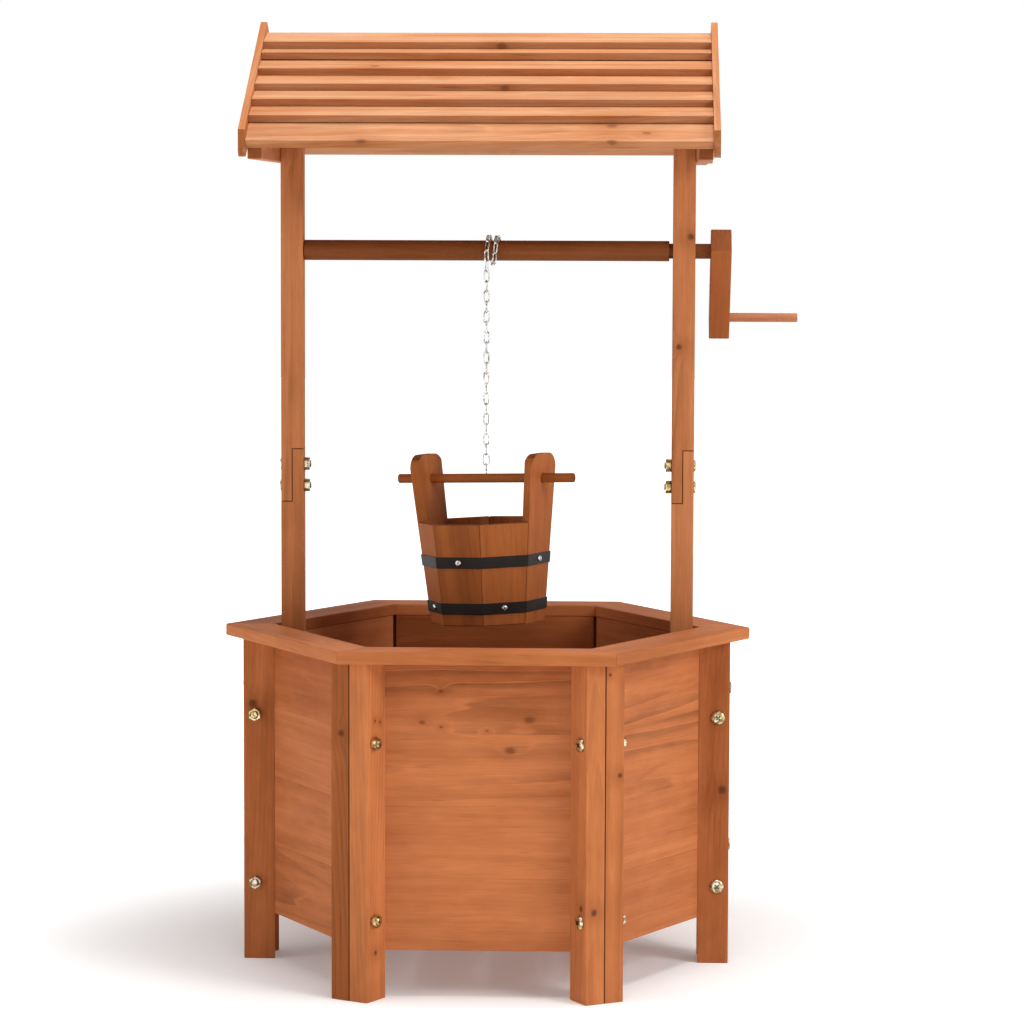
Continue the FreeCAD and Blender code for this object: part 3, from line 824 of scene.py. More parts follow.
def fastener_stand(solid: BMesh) -> Stand:
    """Finds a bolt's, nut's or screw's axis, pointing from its foot to its head.

    Seen along its axis a fastener has few levels, and its head is where it is widest.

    Args:
        solid: the fastener.

    Returns:
        Where it stands.
    """
    points = corners_of(solid)

    def levels(face: BMFace) -> int:
        """Returns how many levels the corners have along a face's normal."""
        return len(set(np.round(points @ np.array(face.normal), 5)))

    axis = min(solid.faces, key=levels).normal.copy()
    found = stand(points, axis, axis.orthogonal().normalized())
    from_middle = points - np.array(found.centre)
    height = from_middle @ np.array(axis)
    radius = np.linalg.norm(from_middle - np.outer(height, np.array(axis)), axis=1)
    widest = radius > radius.max() * 0.98
    if height[widest].mean() < 0:
        found = stand(points, -axis, found.thick)
    return found


def nut_stand(solid: BMesh) -> Stand:
    """Finds a nut's axis and one of its corners.

    Args:
        solid: the nut.

    Returns:
        Where it stands.
    """
    found = fastener_stand(solid)
    far = max(solid.verts, key=lambda vertex: (vertex.co - found.centre).cross(found.along).length)
    way = far.co - found.centre
    wide = (way - found.along * way.dot(found.along)).normalized()
    return stand(corners_of(solid), found.along, found.along.cross(wide).normalized())


def stands(node: str, finder: Callable[[BMesh], Stand]) -> list[Stand]:
    """Measures each solid of a node.

    Args:
        node: the node.
        finder: what measures one solid.

    Returns:
        Where the solids stand.
    """
    found = []
    for solid in shells(node):
        found.append(finder(solid))
        solid.free()
    return found


# ---------------------------------------------------------------- pieces


def piece(name: str, mesh: BMesh, finish: Finish, smooth_angle: float = 35.0) -> bpy.types.Object:
    """Turns a finished mesh into a piece with its material.

    Args:
        name: the piece's name.
        mesh: its mesh, in place, which is freed.
        finish: what it is made of.
        smooth_angle: creases sharper than this many degrees stay sharp.

    Returns:
        The new object.
    """
    data = bpy.data.meshes.new(name)
    mesh.to_mesh(data)
    mesh.free()
    data.shade_smooth()
    data.set_sharp_from_angle(angle=math.radians(smooth_angle))
    data.materials.append(paints.of(finish))
    made = bpy.data.objects.new(name, data)
    bpy.context.scene.collection.objects.link(made)
    weighted = made.modifiers.new("normals", "WEIGHTED_NORMAL")
    weighted.keep_sharp = True
    log.info("%s: %d faces", name, len(data.polygons))
    return made


def bevelled(mesh: BMesh, edges: list, width: float, segments: int, clamped: bool = True) -> list:
    """Bevels edges.

    Args:
        mesh: the mesh.
        edges: the edges; those that are gone by now are left out.
        width: how wide the bevel is on each side.
        segments: how many faces it has across.
        clamped: whether it narrows where edges are short.

    Returns:
        The new faces.
    """
    return bmesh.ops.bevel(
        mesh,
        geom=[edge for edge in edges if edge.is_valid],
        offset=width,
        affect="EDGES",
        segments=segments,
        profile=0.5,
        material=-1,
        clamp_overlap=clamped,
    )["faces"]


@dataclass(frozen=True)
class Board:
    """How one board took its stain, from dark 0 to pale 1, and how plainly its rings show; the back
    panel's dark tone is painted shade of the tub's inside.

    The board may also grow paler or darker towards its top edge, by rise; where the panels' top
    boards darken towards the rim, that is partly dark grain and partly painted shadow of the rim.
    """

    tone: float
    figure: float
    rise: float = 0.0


BOARDS = {
    "leg_left": (Board(0.30, 0.5), Board(0.22, 0.4, 0.15)),
    "leg_front_left": (Board(-0.10, 0.6, 0.10), Board(0.50, 0.55, 0.15)),
    "leg_front_right": (Board(0.50, 0.45, 0.05), Board(0.42, 0.5, 0.0)),
    "leg_right": (Board(0.22, 0.4), Board(0.40, 0.4)),
    # The top boards of the left-front and front panels darken towards the rim: partly dark grain,
    # partly painted shadow of the rim.
    "panel_left_front": (
        Board(0.44, 0.70),
        Board(0.46, 0.35),
        Board(0.46, 0.15),
        Board(0.42, 0.25, -0.65),
    ),
    "panel_front": (
        Board(0.56, 0.15),
        Board(0.58, 0.12),
        Board(0.58, 0.60),
        Board(0.52, 1.0, -0.55),
    ),
    "panel_right_front": (
        Board(0.54, 0.25),
        Board(0.54, 0.20),
        Board(0.56, 0.90),
        Board(0.56, 0.90),
    ),
    # The back panel's dark tones are painted shade inside the tub.
    "panel_back": (Board(0.15, 0.3), Board(0.15, 0.3), Board(0.10, 0.3), Board(0.0, 0.3)),
    "panel_left_back": (Board(0.6, 0.3), Board(0.7, 0.3), Board(0.75, 0.3), Board(0.8, 0.3)),
    "rim_front": (Board(0.42, 0.30),),
    "rim_left_front": (Board(0.45, 0.35),),
    "rim_right_front": (Board(0.42, 0.35),),
    "lower_post_left": (Board(0.26, 0.45, 0.10),),
    "upper_post_left": (Board(0.44, 0.85),),
    "lower_post_right": (Board(0.74, 0.45),),
    "upper_post_right": (Board(0.48, 0.85, -0.05),),
    "crank_arm": (Board(-0.10, 0.5),),
    "roller": (Board(0.45, 0.35),),
}
ON_LINE = 20 * MICRON
SLIVER = 10 * MICRON
CREASE = math.radians(28.0)
JOINT_CREASE = 0.5
FACING = 0.75
NO_KNOT = Vector((99.0, 99.0, 99.0))
KNOT_RADII = (0.0028, 0.0055)
EYE_SPREAD = (-0.8, 0.8)
FAR_ALONG = (0.0, 8.0)
ASIDE = (-0.03, 0.03)
TONES = (0.30, 0.75)
FIGURES = (0.2, 0.6)


def joint_lines(board: BMesh, neighbours: list[set]) -> list[Line]:
    """Finds where a board meets its neighbours: edges whose two ends are one neighbour's too.

    Args:
        board: the board.
        neighbours: the corners of each neighbour.

    Returns:
        Those edges as lines.
    """
    lines = []
    for edge in board.edges:
        ends = corner_keys(edge.verts)
        if any(ends <= corners for corners in neighbours):
            lines.append(tuple(vertex.co.copy() for vertex in edge.verts))
    return lines


def lies_on(edge: BMEdge, lines: list[Line]) -> bool:
    """Tells whether an edge lies along one of the lines.

    Args:
        edge: the edge.
        lines: the lines.

    Returns:
        Whether it does.
    """
    ends = [vertex.co for vertex in edge.verts]
    return any(
        all((intersect_point_line(end, *line)[0] - end).length < ON_LINE for end in ends)
        for line in lines
    )


@dataclass(frozen=True)
class Timber:
    """Sawn or turned wood: eases the edges of parts and lays grain in each board."""

    body: Body
    finish: WoodFinish
    easing: float = 0.0008
    segments: int = 2
    shortest: float = 0.003
    groove: float = 0.0006
    knotted: float = 0.5
    pith: Range = (0.020, 0.060)
    slope: float = 0.05
    # Darkening share for the narrow sides; on roof risers it is partly painted shade.
    sawn_edge_and_riser_shade: float = 0.0
    meets: tuple[str, ...] = ()

    def make(self, *nodes: str) -> None:
        """Replaces each named part by its eased and grained copy."""
        for node in nodes:
            self.part(node)

    def part(self, node: str) -> None:
        """Makes the wooden piece of one node, of one board or more.

        Args:
            node: the part's node.
        """
        boards = shells(node)
        corners = [corner_keys(board.verts) for board in boards]
        for other in self.meets:
            if other != node:
                corners.append(corner_keys(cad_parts[other].data.vertices))
        for number, board in enumerate(boards):
            # Face layer that marks the joint grooves for painted shade.
            crevice_shade = board.faces.layers.float.new(Attribute.CREVICE_SHADE.value)
            joints = joint_lines(board, corners[:number] + corners[number + 1 :])
            self.ease(board, joints)
            self.groove_joints(board, joints, crevice_shade)
            self.grain(board, node, number)
        made = piece(node + "_wood", joined(boards), self.finish)
        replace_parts(made, node)
        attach(made, self.body.value)

    def ease(self, board: BMesh, joints: list[Line]) -> None:
        """Rounds the outer edges, but not those of joints, nor of bolt holes, which are short.

        Args:
            board: the board.
            joints: the lines where it meets its neighbours.
        """
        sharp = [
            edge
            for edge in board.edges
            if edge.is_manifold
            and edge.calc_length() > self.shortest
            and edge.calc_face_angle_signed() > CREASE
            and not lies_on(edge, joints)
        ]
        bevelled(board, sharp, self.easing, self.segments)

    def groove_joints(self, board: BMesh, joints: list[Line], crevice_shade: BMLayerItem) -> None:
        """Opens a fine groove where a board meets a neighbour, and marks it for painted shade.

        Args:
            board: the board.
            joints: the lines where it meets its neighbours.
            crevice_shade: the face layer that marks the groove.
        """
        edges = [
            edge
            for edge in board.edges
            if edge.calc_face_angle(0.0) > JOINT_CREASE and lies_on(edge, joints)
        ]
        if edges:
            for face in bevelled(board, edges, self.groove, 1, clamped=False):
                face[crevice_shade] = 1.0
        bmesh.ops.dissolve_degenerate(board, dist=SLIVER, edges=board.edges)
        board.verts.index_update()

    def grain(self, board: BMesh, node: str, number: int) -> None:
        """Writes a board's grain, knot, tone and end grain into its mesh.

        Args:
            board: the board.
            node: its node, which seeds its differences.
            number: which of the node's boards it is.
        """
        grain = board.verts.layers.float_vector.new(Attribute.GRAIN.value)
        knot = board.verts.layers.float_vector.new(Attribute.KNOT.value)
        tone = board.verts.layers.float.new(Attribute.TONE.value)
        figure = board.verts.layers.float.new(Attribute.FIGURE.value)
        dice = random.Random(f"{node}-{number}")
        at = board_stand(board)
        start = Vector([dice.uniform(*ends) for ends in (FAR_ALONG, ASIDE, self.pith)])
        lean = dice.uniform(-self.slope, self.slope)
        known = BOARDS.get(node)
        took = known[number] if known else Board(dice.uniform(*TONES), dice.uniform(*FIGURES))
        knotless = known or dice.random() > self.knotted
        eye = Vector([size * dice.uniform(*EYE_SPREAD) for size in at.reach[:2]] + [0.0])
        eye.z = at.reach[2] * dice.choice((-1, 1))
        radius = dice.uniform(*KNOT_RADII)
        low = min(vertex.co.z for vertex in board.verts)
        tall = max(vertex.co.z for vertex in board.verts) - low
        for vertex in board.verts:
            way = vertex.co - at.centre
            place = Vector((way.dot(at.along), way.dot(at.wide), way.dot(at.thick)))
            vertex[grain] = place + start + Vector((0.0, 0.0, lean * place.x))
            vertex[knot] = NO_KNOT if knotless else (place - eye) / radius
            vertex[tone] = took.tone + took.rise * (vertex.co.z - low) / tall
            vertex[figure] = took.figure
        self.mark_ends(board, at)

    def mark_ends(self, board: BMesh, at: Stand) -> None:
        """Marks the end grain, and the board's narrow sides where these show sawn; on roof boards
        those sides are the risers, whose darkening is partly stain and partly painted shade.

        Args:
            board: the board.
            at: where it stands.
        """
        end = board.faces.layers.float.new(Attribute.END_GRAIN_AND_RISER_SHADE.value)
        for face in board.faces:
            face[end] = float(abs(face.normal.dot(at.along)) > FACING)
            if abs(face.normal.dot(at.wide)) > FACING:
                face[end] = self.sawn_edge_and_riser_shade


def only(kind: type, items: list) -> list:
    """Returns the corners, or the edges, among mixed items."""
    return [item for item in items if isinstance(item, kind)]


def circle(mesh: BMesh, radius: float, sides: int, place: Matrix) -> list[BMEdge]:
    """Draws a circle.

    Args:
        mesh: the mesh that gets it.
        radius: its radius.
        sides: how many edges it has.
        place: where it lies.

    Returns:
        Its edges.
    """
    made = bmesh.ops.create_circle(
        mesh, cap_ends=False, radius=radius, segments=sides, matrix=place
    )
    return list(dict.fromkeys(edge for vertex in made["verts"] for edge in vertex.link_edges))


def ringed(mesh: BMesh, edges: list[BMEdge], start: Range, stations: list[Range]) -> list[BMEdge]:
    """Draws a ring of edges through (radius, height) stations, as turning does.

    Args:
        mesh: the mesh.
        edges: the ring to start from, round the Z axis.
        start: that ring's radius and height.
        stations: the radii and heights that follow.

    Returns:
        The last ring.
    """
    radius, height = start
    for new_radius, new_height in stations:
        made = bmesh.ops.extrude_edge_only(mesh, edges=edges)["geom"]
        verts = only(BMVert, made)
        scale = new_radius / radius
        bmesh.ops.scale(mesh, vec=(scale, scale, 1.0), verts=verts)
        bmesh.ops.translate(mesh, vec=(0.0, 0.0, new_height - height), verts=verts)
        edges = only(BMEdge, made)
        radius, height = new_radius, new_height
    return edges


@dataclass(frozen=True, kw_only=True)
class CrossHead:
    """A turned head with a cross recess on a threaded shank; Z points out of the head."""

    head_radius: float
    head_height: float
    rim_height: float
    shank_radius: float
    shank_length: float = 0.0
    recess_reach: float
    recess_width: float
    recess_depth: float
    recess_taper: float = 0.72
    flat_share: float = 1.18
    thread_length: float
    thread_pitch: float = 0.001
    thread_root: float = 0.86
    sides: int = 24

    def make(self) -> BMesh:
        """Returns the fastener with its head's bearing face at height 0."""
        mesh = bmesh.new()
        self.recess(mesh)
        cross = [edge for edge in mesh.edges if edge.is_boundary]
        flat = self.recess_reach * self.flat_share
        rim = circle(mesh, flat, self.sides, Matrix.Translation((0, 0, self.head_height)))
        bmesh.ops.triangle_fill(mesh, use_beauty=True, edges=cross + rim, normal=(0, 0, 1))
        last = ringed(mesh, rim, (flat, self.head_height), self.stations(flat))
        bmesh.ops.edgeloop_fill(mesh, edges=last)
        bmesh.ops.recalc_face_normals(mesh, faces=mesh.faces)
        return mesh

    def recess(self, mesh: BMesh) -> None:
        """Makes the cross, sinks it below the head's top and marks it for painted shade.

        Args:
            mesh: the empty mesh that gets it.
        """
        recess_shade = mesh.faces.layers.float.new(Attribute.CREVICE_SHADE.value)
        bmesh.ops.create_grid(mesh, x_segments=3, y_segments=3, size=self.recess_reach)
        inner = self.recess_width / 2
        for vertex in mesh.verts:
            for axis in (0, 1):
                if abs(vertex.co[axis]) < self.recess_reach * 0.9:
                    vertex.co[axis] = math.copysign(inner, vertex.co[axis])
        middles = [(face, face.calc_center_median()) for face in mesh.faces]
        corners = [face for face, middle in middles if min(abs(middle.x), abs(middle.y)) > inner]
        bmesh.ops.delete(mesh, geom=corners, context="FACES")
        bmesh.ops.translate(mesh, vec=(0, 0, self.head_height), verts=mesh.verts)
        lid = list(mesh.faces)
        verts = only(BMVert, bmesh.ops.extrude_face_region(mesh, geom=lid)["geom"])
        bmesh.ops.delete(mesh, geom=lid, context="FACES")
        bmesh.ops.scale(mesh, vec=(self.recess_taper, self.recess_taper, 1.0), verts=verts)
        bmesh.ops.translate(mesh, vec=(0, 0, -self.recess_depth), verts=verts)
        # Every face of the recess is marked to be darkened as painted shade.
        for face in mesh.faces:
            face[recess_shade] = 1.0

    def stations(self, flat: float) -> list[Range]:
        """Lists the turned outline from the dome's edge to the shank's tip.

        Args:
            flat: the radius of the flat on top.

        Returns:
            Its radii and heights.
        """
        dome = []
        for step in range(1, 6):
            angle = step * math.pi / 10
            radius = flat + (self.head_radius - flat) * math.sin(angle)
            height = self.rim_height + (self.head_height - self.rim_height) * math.cos(angle)
            dome.append((radius, height))
        under = [
            (self.head_radius, self.rim_height * 0.3),
            (self.head_radius * 0.97, 0.0),
            (self.shank_radius, 0.0),
        ]
        plain = self.shank_length - self.thread_length
        thread = [
            (self.shank_radius * radius, -plain - self.thread_pitch * (turn + share))
            for turn in range(round(self.thread_length / self.thread_pitch) - 1)
            for radius, share in ((1.0, 0.0), (self.thread_root, 0.5))
        ]
        tip = [
            (self.shank_radius * 0.98, -self.shank_length + 0.0006),
            (self.shank_radius * 0.8, -self.shank_length),
        ]
        return dome + under + thread + tip


@dataclass(frozen=True)
class HexNut:
    """A hexagonal nut with chamfered corners; Z runs along its thread."""

    flats: float
    height: float
    bore_radius: float
    chamfer: float = 0.0009
    countersink: float = 0.0007

    def make(self) -> BMesh:
        """Returns the nut, standing in the middle of its height."""
        mesh = bmesh.new()
        corner = self.flats / math.sqrt(3.0)
        bottom = Matrix.Translation((0, 0, -self.height / 2))
        outer = circle(mesh, corner, 6, bottom)
        inner = circle(mesh, self.bore_radius, 24, bottom)
        ring = bmesh.ops.bridge_loops(mesh, edges=outer + inner)["faces"]
        raised = bmesh.ops.extrude_face_region(mesh, geom=ring, use_keep_orig=True)["geom"]
        bmesh.ops.translate(mesh, vec=(0, 0, self.height), verts=only(BMVert, raised))
        bmesh.ops.recalc_face_normals(mesh, faces=mesh.faces)
        mouths, rims = [], []
        for edge in mesh.edges:
            radii = [vertex.co.xy.length for vertex in edge.verts]
            level = abs(edge.verts[0].co.z - edge.verts[1].co.z) < SLIVER
            if min(radii) > corner * 0.95:
                rims.append(edge)
            elif level and max(radii) < self.bore_radius * 1.05:
                mouths.append(edge)
        bevelled(mesh, mouths, self.countersink, 1)
        bevelled(mesh, rims, self.chamfer, 2)
        return mesh


@dataclass(frozen=True)
class WireLink:
    """A chain link bent from round wire; it is long along Z and wide along X."""

    reach: float
    width: float
    wire: float
    bends: int = 8
    sides: int = 8

    def make(self) -> BMesh:
        """Returns the closed link, its middle at the origin."""
        mesh = bmesh.new()
        radius = (self.width - self.wire) / 2
        straight = self.reach - self.wire - 2 * radius
        foot = Matrix.Translation((radius, 0, -straight / 2))
        section = circle(mesh, self.wire / 2, self.sides, foot)
        for lift in (straight, -straight):
            drawn = bmesh.ops.extrude_edge_only(mesh, edges=section)["geom"]
            bmesh.ops.translate(mesh, vec=(0, 0, lift), verts=only(BMVert, drawn))
            bent = bmesh.ops.spin(
                mesh,
                geom=only(BMVert, drawn) + only(BMEdge, drawn),
                cent=(0, 0, lift / 2),
                axis=(0, 1, 0),
                angle=-math.pi,
                steps=self.bends,
                use_duplicate=False,
            )
            section = only(BMEdge, bent["geom_last"])
        bmesh.ops.remove_doubles(mesh, verts=mesh.verts, dist=MICRON)
        bmesh.ops.recalc_face_normals(mesh, faces=mesh.faces)
        return mesh


@dataclass(frozen=True)
class ScrewEye:
    """A screw bent into an eye at its top; Z runs up it and the eye lies flat to Y."""

    wire: float = 0.0018
    eye_radius: float = 0.0039
    bends: int = 32
    sides: int = 10

    def make(self, height: float) -> BMesh:
        """Bends and points the screw eye.

        Args:
            height: how long it is from its point to the top of its eye.

        Returns:
            The screw eye, its middle at the origin.
        """
        mesh = bmesh.new()
        middle = height / 2 - self.eye_radius - self.wire / 2
        place = Matrix.Translation((self.eye_radius, 0.0, middle))
        circle(mesh, self.wire / 2, self.sides, place)
        bmesh.ops.spin(
            mesh,
            geom=list(mesh.verts) + list(mesh.edges),
            cent=(0.0, 0.0, middle),
            axis=(0.0, 1.0, 0.0),
            angle=2 * math.pi,
            steps=self.bends,
            use_merge=True,
            use_duplicate=False,
        )
        length = middle - self.eye_radius + height / 2
        bmesh.ops.create_cone(
            mesh,
            cap_ends=True,
            segments=self.sides,
            radius1=self.wire * 0.3,
            radius2=self.wire / 2,
            depth=length,
            matrix=Matrix.Translation((0.0, 0.0, length / 2 - height / 2)),
        )
        bmesh.ops.recalc_face_normals(mesh, faces=mesh.faces)
        return mesh


def set_out(pattern: BMesh, places: list[Matrix]) -> BMesh:
    """Copies one small mesh to many places.

    Args:
        pattern: the mesh, which is freed.
        places: where each copy goes.

    Returns:
        All the copies as one mesh.
    """
    copies = []
    for place in places:
        copy = pattern.copy()
        bmesh.ops.transform(copy, matrix=place, verts=copy.verts)
        copies.append(copy)
    pattern.free()
    return joined(copies)


def fasteners(node: str, pattern: CrossHead, finish: ZincFinish, body: Body) -> None:
    """Makes one node's bolts or screws, as long as its solids are.

    Args:
        node: their node.
        pattern: their head and thread.
        finish: their plating.
        body: the body that they move with.
    """
    found = stands(node, fastener_stand)
    sized = replace(pattern, shank_length=2 * found[0].reach[0] - pattern.head_height)
    places = [at.matrix(at.centre + at.along * (at.reach[0] - pattern.head_height)) for at in found]
    made = piece(node + "_zinc", set_out(sized.make(), places), finish)
    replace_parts(made, node)
    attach(made, body.value)


# ---------------------------------------------------------------- sub-assemblies

CORNERS = ("right", "back_right", "back_left", "left", "front_left", "front_right")
SIDES = ("right_back", "back", "left_back", "left_front", "front", "right_front")


@dataclass(frozen=True)
class Tub:
    """The six-sided tub: paired leg bars, boarded panels, mitred rim and slatted floor."""

    leg_easing: float = 0.0010
    leg_groove: float = 0.0008
    panel_easing: float = 0.0004
    panel_groove: float = 0.0003
    rim_easing: float = 0.0016
    rim_groove: float = 0.0002

    def make(self) -> None:
        """Makes the tub's wood."""
        legs = [f"leg_{name}" for name in CORNERS]
        panels = [f"panel_{name}" for name in SIDES]
        rim = tuple(f"rim_{name}" for name in SIDES)
        leg = Timber(Body.FRAME, FRAME_WOOD, self.leg_easing, segments=3, groove=self.leg_groove)
        leg.make(*legs)
        panel = Timber(Body.FRAME, PANEL_WOOD, self.panel_easing, groove=self.panel_groove)
        panel.make(*panels)
        edge = Timber(
            Body.FRAME, RIM_WOOD, self.rim_easing, segments=3, groove=self.rim_groove, meets=rim
        )
        edge.make(*rim)
        Timber(Body.FRAME, FRAME_WOOD).make("floor_boards", "floor_cleats")


@dataclass(frozen=True)
class Posts:
    """Two lapped posts and the ties outside their heads."""

    easing: float = 0.0012

    def make(self) -> None:
        """Makes the posts and ties."""
        for side in ("left", "right"):
            posts = (f"lower_post_{side}", f"upper_post_{side}")
            wood = Timber(Body.FRAME, POST_WOOD, self.easing, segments=3, meets=posts)
            wood.make(*posts, f"tie_{side}")


@dataclass(frozen=True)
class Roof:
    """Lapped boards on rafters between barge boards."""

    board_easing: float = 0.0006
    barge_easing: float = 0.0010
    board_knots: float = 0.35
    # Darkening of the roof boards' sawn risers: partly stain, partly painted shade.
    sawn_edge_and_riser_shade: float = 0.40

    def make(self) -> None:
        """Makes the roof's wood."""
        board = Timber(
            Body.FRAME,
            ROOF_WOOD,
            self.board_easing,
            knotted=self.board_knots,
            sawn_edge_and_riser_shade=self.sawn_edge_and_riser_shade,
        )
        board.make("roof_boards_front", "roof_boards_back")
        ends = [f"{face}_{side}" for face in ("front", "back") for side in ("left", "right")]
        for wood, name in ((ROOF_WOOD, "barge_board"), (FRAME_WOOD, "rafter")):
            Timber(Body.FRAME, wood, self.barge_easing).make(*[f"{name}_{end}" for end in ends])


@dataclass(frozen=True)
class Hardware:
    """The bolts and nuts that hold the tub and the posts together."""

    domed: CrossHead = CrossHead(
        head_radius=0.0078,
        head_height=0.0034,
        rim_height=0.0010,
        shank_radius=0.0039,
        recess_reach=0.0034,
        recess_width=0.0016,
        recess_depth=0.0021,
        thread_length=0.014,
    )
    flat: CrossHead = CrossHead(
        head_radius=0.0067,
        head_height=0.0024,
        rim_height=0.0010,
        shank_radius=0.0039,
        recess_reach=0.0030,
        recess_width=0.0015,
        recess_depth=0.0014,
        thread_length=0.014,
    )
    nut: HexNut = HexNut(flats=0.013, height=0.0065, bore_radius=0.0040)

    def make(self) -> None:
        """Makes the bolts and nuts."""
        fasteners("corner_bolts", self.domed, YELLOW_ZINC, Body.FRAME)
        fasteners("post_bolts", self.flat, YELLOW_ZINC, Body.FRAME)
        fasteners("lap_bolts", self.flat, YELLOW_ZINC, Body.FRAME)
        places = [at.matrix(at.centre) for at in stands("hex_nuts", nut_stand)]
        made = piece("hex_nuts_zinc", set_out(self.nut.make(), places), YELLOW_ZINC)
        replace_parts(made, "hex_nuts")
        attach(made, Body.FRAME.value)


@dataclass(frozen=True)
class Windlass:
    """The turned roller, its crank and the handle."""

    easing: float = 0.0008
    arm_easing: float = 0.0012
    roller_pith: Range = (0.0, 0.004)

    def make(self) -> None:
        """Makes the windlass's wood."""
        turned = Timber(Body.WINDLASS, ROLLER_WOOD, self.easing, shortest=0.0, knotted=0.0)
        replace(turned, pith=self.roller_pith).make("roller")
        Timber(Body.WINDLASS, CRANK_WOOD, self.arm_easing, segments=3).make("crank_arm")
        replace(turned, finish=HANDLE_WOOD).make("crank_handle")


@dataclass(frozen=True)
class Chain:
    """Round wire links, wound on the roller and hanging from it."""

    wire: float = 0.0017
    smooth_angle: float = 60.0

    def make(self) -> None:
        """Makes both runs of the chain."""
        wound = self.run("chain_turns")
        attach(wound, Body.WINDLASS.value)
        hanging = self.run("hanging_chain")
        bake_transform(hanging)

    def run(self, node: str) -> bpy.types.Object:
        """Makes a node's links, each of its own size.

        Args:
            node: the links' node.

        Returns:
            The piece.
        """
        links = [
            set_out(
                WireLink(2 * at.reach[0], 2 * at.reach[1], self.wire).make(),
                [at.matrix(at.centre)],
            )
            for at in stands(node, link_stand)
        ]
        made = piece(node + "_wire", joined(links), BRIGHT_ZINC, self.smooth_angle)
        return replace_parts(made, node)


@dataclass(frozen=True)
class Bucket:
    """The coopered bucket: staves, ears, dowel, hoops and their screws."""

    stave_easing: float = 0.0014
    stave_knots: float = 0.2
    ear_easing: float = 0.0028
    dowel_shortest: float = 0.0015
    hoop_easing: float = 0.0003
    hoop_crease: float = math.radians(60.0)
    screw_eye: ScrewEye = ScrewEye()
    screw: CrossHead = CrossHead(
        head_radius=0.0035,
        head_height=0.0019,
        rim_height=0.0004,
        shank_radius=0.0014,
        recess_reach=0.0016,
        recess_width=0.0007,
        recess_depth=0.0012,
        thread_length=0.003,
    )

    def make(self) -> None:
        """Makes the bucket and what it hangs by."""
        ear = Timber(Body.BUCKET, BUCKET_WOOD, self.ear_easing, segments=3, knotted=0.0)
        ear.make("bucket_ear_left", "bucket_ear_right")
        staves = [f"bucket_stave_{number}" for number in (1, 2, 3, 5, 6, 7)]
        stave = Timber(Body.BUCKET, BUCKET_WOOD, self.stave_easing, knotted=self.stave_knots)
        stave.make(*staves, "bucket_floor")
        dowel = Timber(Body.HANGER, DOWEL_WOOD, shortest=self.dowel_shortest, knotted=0.0)
        dowel.make("bucket_dowel")
        for node in ("hoop_lower", "hoop_upper"):
            self.hoop(node)
        fasteners("hoop_screws", self.screw, BRIGHT_ZINC, Body.BUCKET)
        self.eye()

    def hoop(self, node: str) -> None:
        """Makes one flat hoop with worn edges.

        Args:
            node: the hoop's node.
        """
        (mesh,) = shells(node)
        sharp = [
            edge
            for edge in mesh.edges
            if edge.is_manifold and edge.calc_face_angle_signed() > self.hoop_crease
        ]
        bevelled(mesh, sharp, self.hoop_easing, 2)
        made = piece(node + "_iron", mesh, BLACK_IRON)
        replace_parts(made, node)
        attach(made, Body.BUCKET.value)

    def eye(self) -> None:
        """Makes the screw eye on the dowel."""
        (at,) = stands("dowel_eye", link_stand)
        bent = set_out(self.screw_eye.make(2 * at.reach[0]), [at.matrix(at.centre)])
        made = piece("dowel_eye_wire", bent, BRIGHT_ZINC)
        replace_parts(made, "dowel_eye")
        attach(made, Body.HANGER.value)


# ---------------------------------------------------------------- studio

AIM = Vector((0.0, 0.0, 0.5))


@dataclass(frozen=True)
class Lamp:
    """A square soft light that points at the well's middle."""

    name: str
    place: Point
    size: float
    power: float

    def make(self) -> None:
        """Hangs the light."""
        data = bpy.data.lights.new(self.name, "AREA")
        data.shape = "SQUARE"
        data.size = self.size
        data.energy = self.power
        lamp = bpy.data.objects.new(self.name, data)
        lamp.location = self.place
        lamp.rotation_euler = (AIM - Vector(self.place)).to_track_quat("-Z", "Y").to_euler()
        bpy.context.scene.collection.objects.link(lamp)


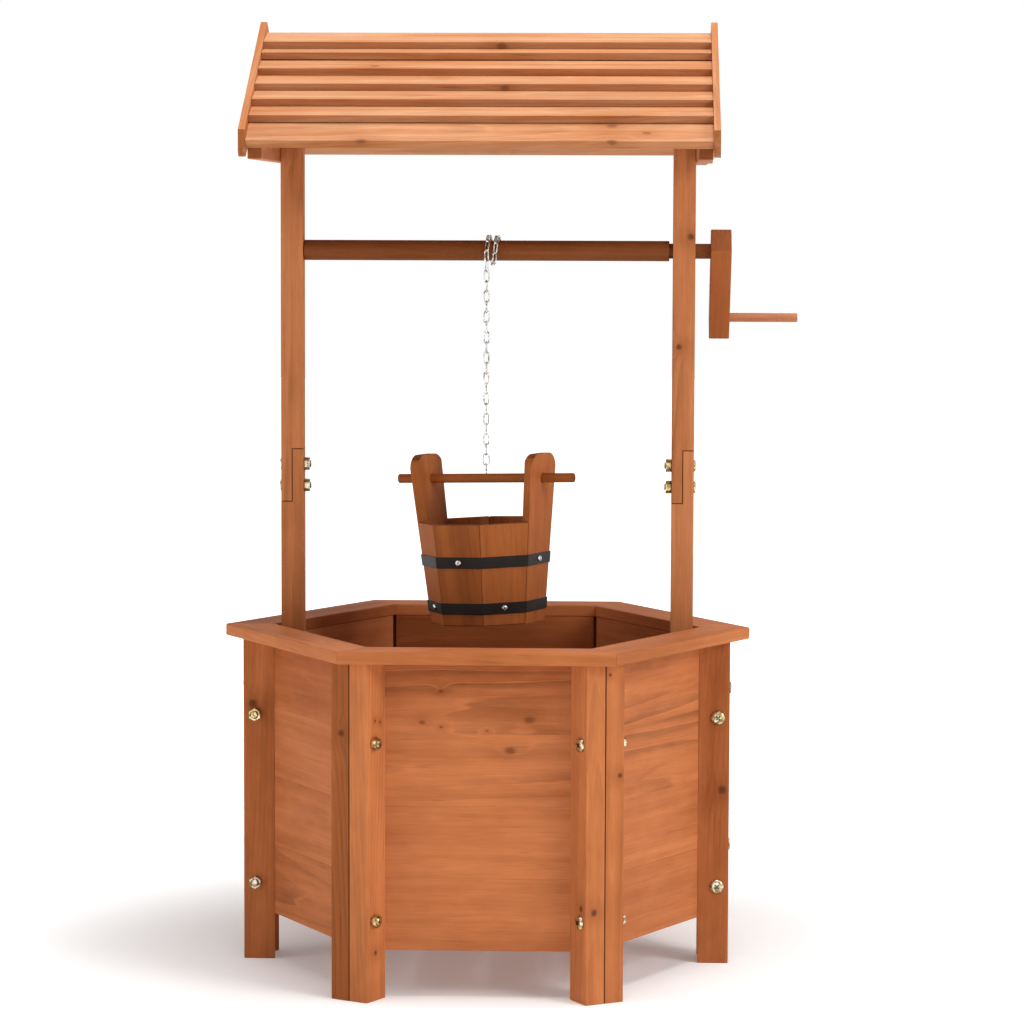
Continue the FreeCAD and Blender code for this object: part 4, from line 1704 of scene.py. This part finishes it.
@dataclass(frozen=True)
class Studio:
    """White sweep, soft lights and the camera."""

    camera_place: Point = (0.1468, -3.9745, 0.8431)
    camera_turn: float = 2.10
    camera_dip: float = 4.84
    camera_roll: float = 0.18
    camera_lens: float = 125.0
    camera_sensor: float = 36.0
    camera_sight: float = 50.0
    floor_radius: float = 14.0
    floor_sides: int = 96
    floor_white: float = 0.90
    near_glow: float = 0.16
    unseen_glow: float = 0.55
    fade_start: float = 0.35
    fade_end: float = 1.05
    sky_level: float = 0.30
    lamps: tuple[Lamp, ...] = (
        Lamp("key", (2.9, -2.05, 2.2), 1.6, 67.0),
        Lamp("fill", (-3.6, -1.7, 1.4), 2.2, 32.0),
        Lamp("top", (0.2, -0.4, 3.3), 1.4, 74.0),
    )

    def make(self) -> None:
        """Sets up the studio."""
        self.sky()
        self.floor()
        self.camera()
        for lamp in self.lamps:
            lamp.make()
        bpy.context.scene.view_settings.view_transform = "Standard"

    def sky(self) -> None:
        """Makes a world that is plain white to look at and gives an even soft light."""
        world = bpy.data.worlds.new("studio")
        world.use_nodes = True
        bpy.context.scene.world = world
        nodes = Nodes(world.node_tree)
        level = nodes.seen() * (1.0 - self.sky_level) + self.sky_level
        background = world.node_tree.nodes["Background"]
        background.inputs["Color"].default_value = (1.0, 1.0, 1.0, 1.0)
        world.node_tree.links.new(level.socket, background.inputs["Strength"])

    def floor(self) -> None:
        """Lays a round white floor that glows as white as the sky away from the well."""
        mesh = bmesh.new()
        bmesh.ops.create_circle(
            mesh, cap_ends=True, radius=self.floor_radius, segments=self.floor_sides
        )
        data = bpy.data.meshes.new("floor")
        mesh.to_mesh(data)
        mesh.free()
        shade = Shade("floor_paper")
        away = shade.length(shade.here()).between(self.fade_start, self.fade_end)
        glow = shade.seen() * (1.0 - self.unseen_glow) + self.unseen_glow
        near = (self.near_glow, self.near_glow, self.near_glow)
        shade.link("Emission Color", shade.mixed(away * glow, near, (1.0, 1.0, 1.0)))
        white = (self.floor_white, self.floor_white, self.floor_white, 1.0)
        shade.fix(Base_Color=white, Roughness=0.9, Emission_Strength=1.0, Specular_IOR_Level=0.1)
        data.materials.append(shade.material)
        floor = bpy.data.objects.new("floor", data)
        bpy.context.scene.collection.objects.link(floor)

    def camera(self) -> None:
        """Places the camera where the photograph was taken from."""
        data = bpy.data.cameras.new("camera")
        data.lens = self.camera_lens
        data.sensor_width = self.camera_sensor
        data.clip_end = self.camera_sight
        camera = bpy.data.objects.new("camera", data)
        turn = (
            Matrix.Rotation(math.radians(self.camera_turn), 4, "Z")
            @ Matrix.Rotation(math.radians(90.0 - self.camera_dip), 4, "X")
            @ Matrix.Rotation(math.radians(self.camera_roll), 4, "Z")
        )
        camera.matrix_world = Matrix.Translation(self.camera_place) @ turn
        bpy.context.scene.collection.objects.link(camera)
        bpy.context.scene.camera = camera


def main() -> None:
    """Builds every sub-assembly and the studio."""
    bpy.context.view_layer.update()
    for part in (Tub(), Posts(), Roof(), Hardware(), Windlass(), Chain(), Bucket(), Studio()):
        part.make()


if __name__ == "__main__":
    main()
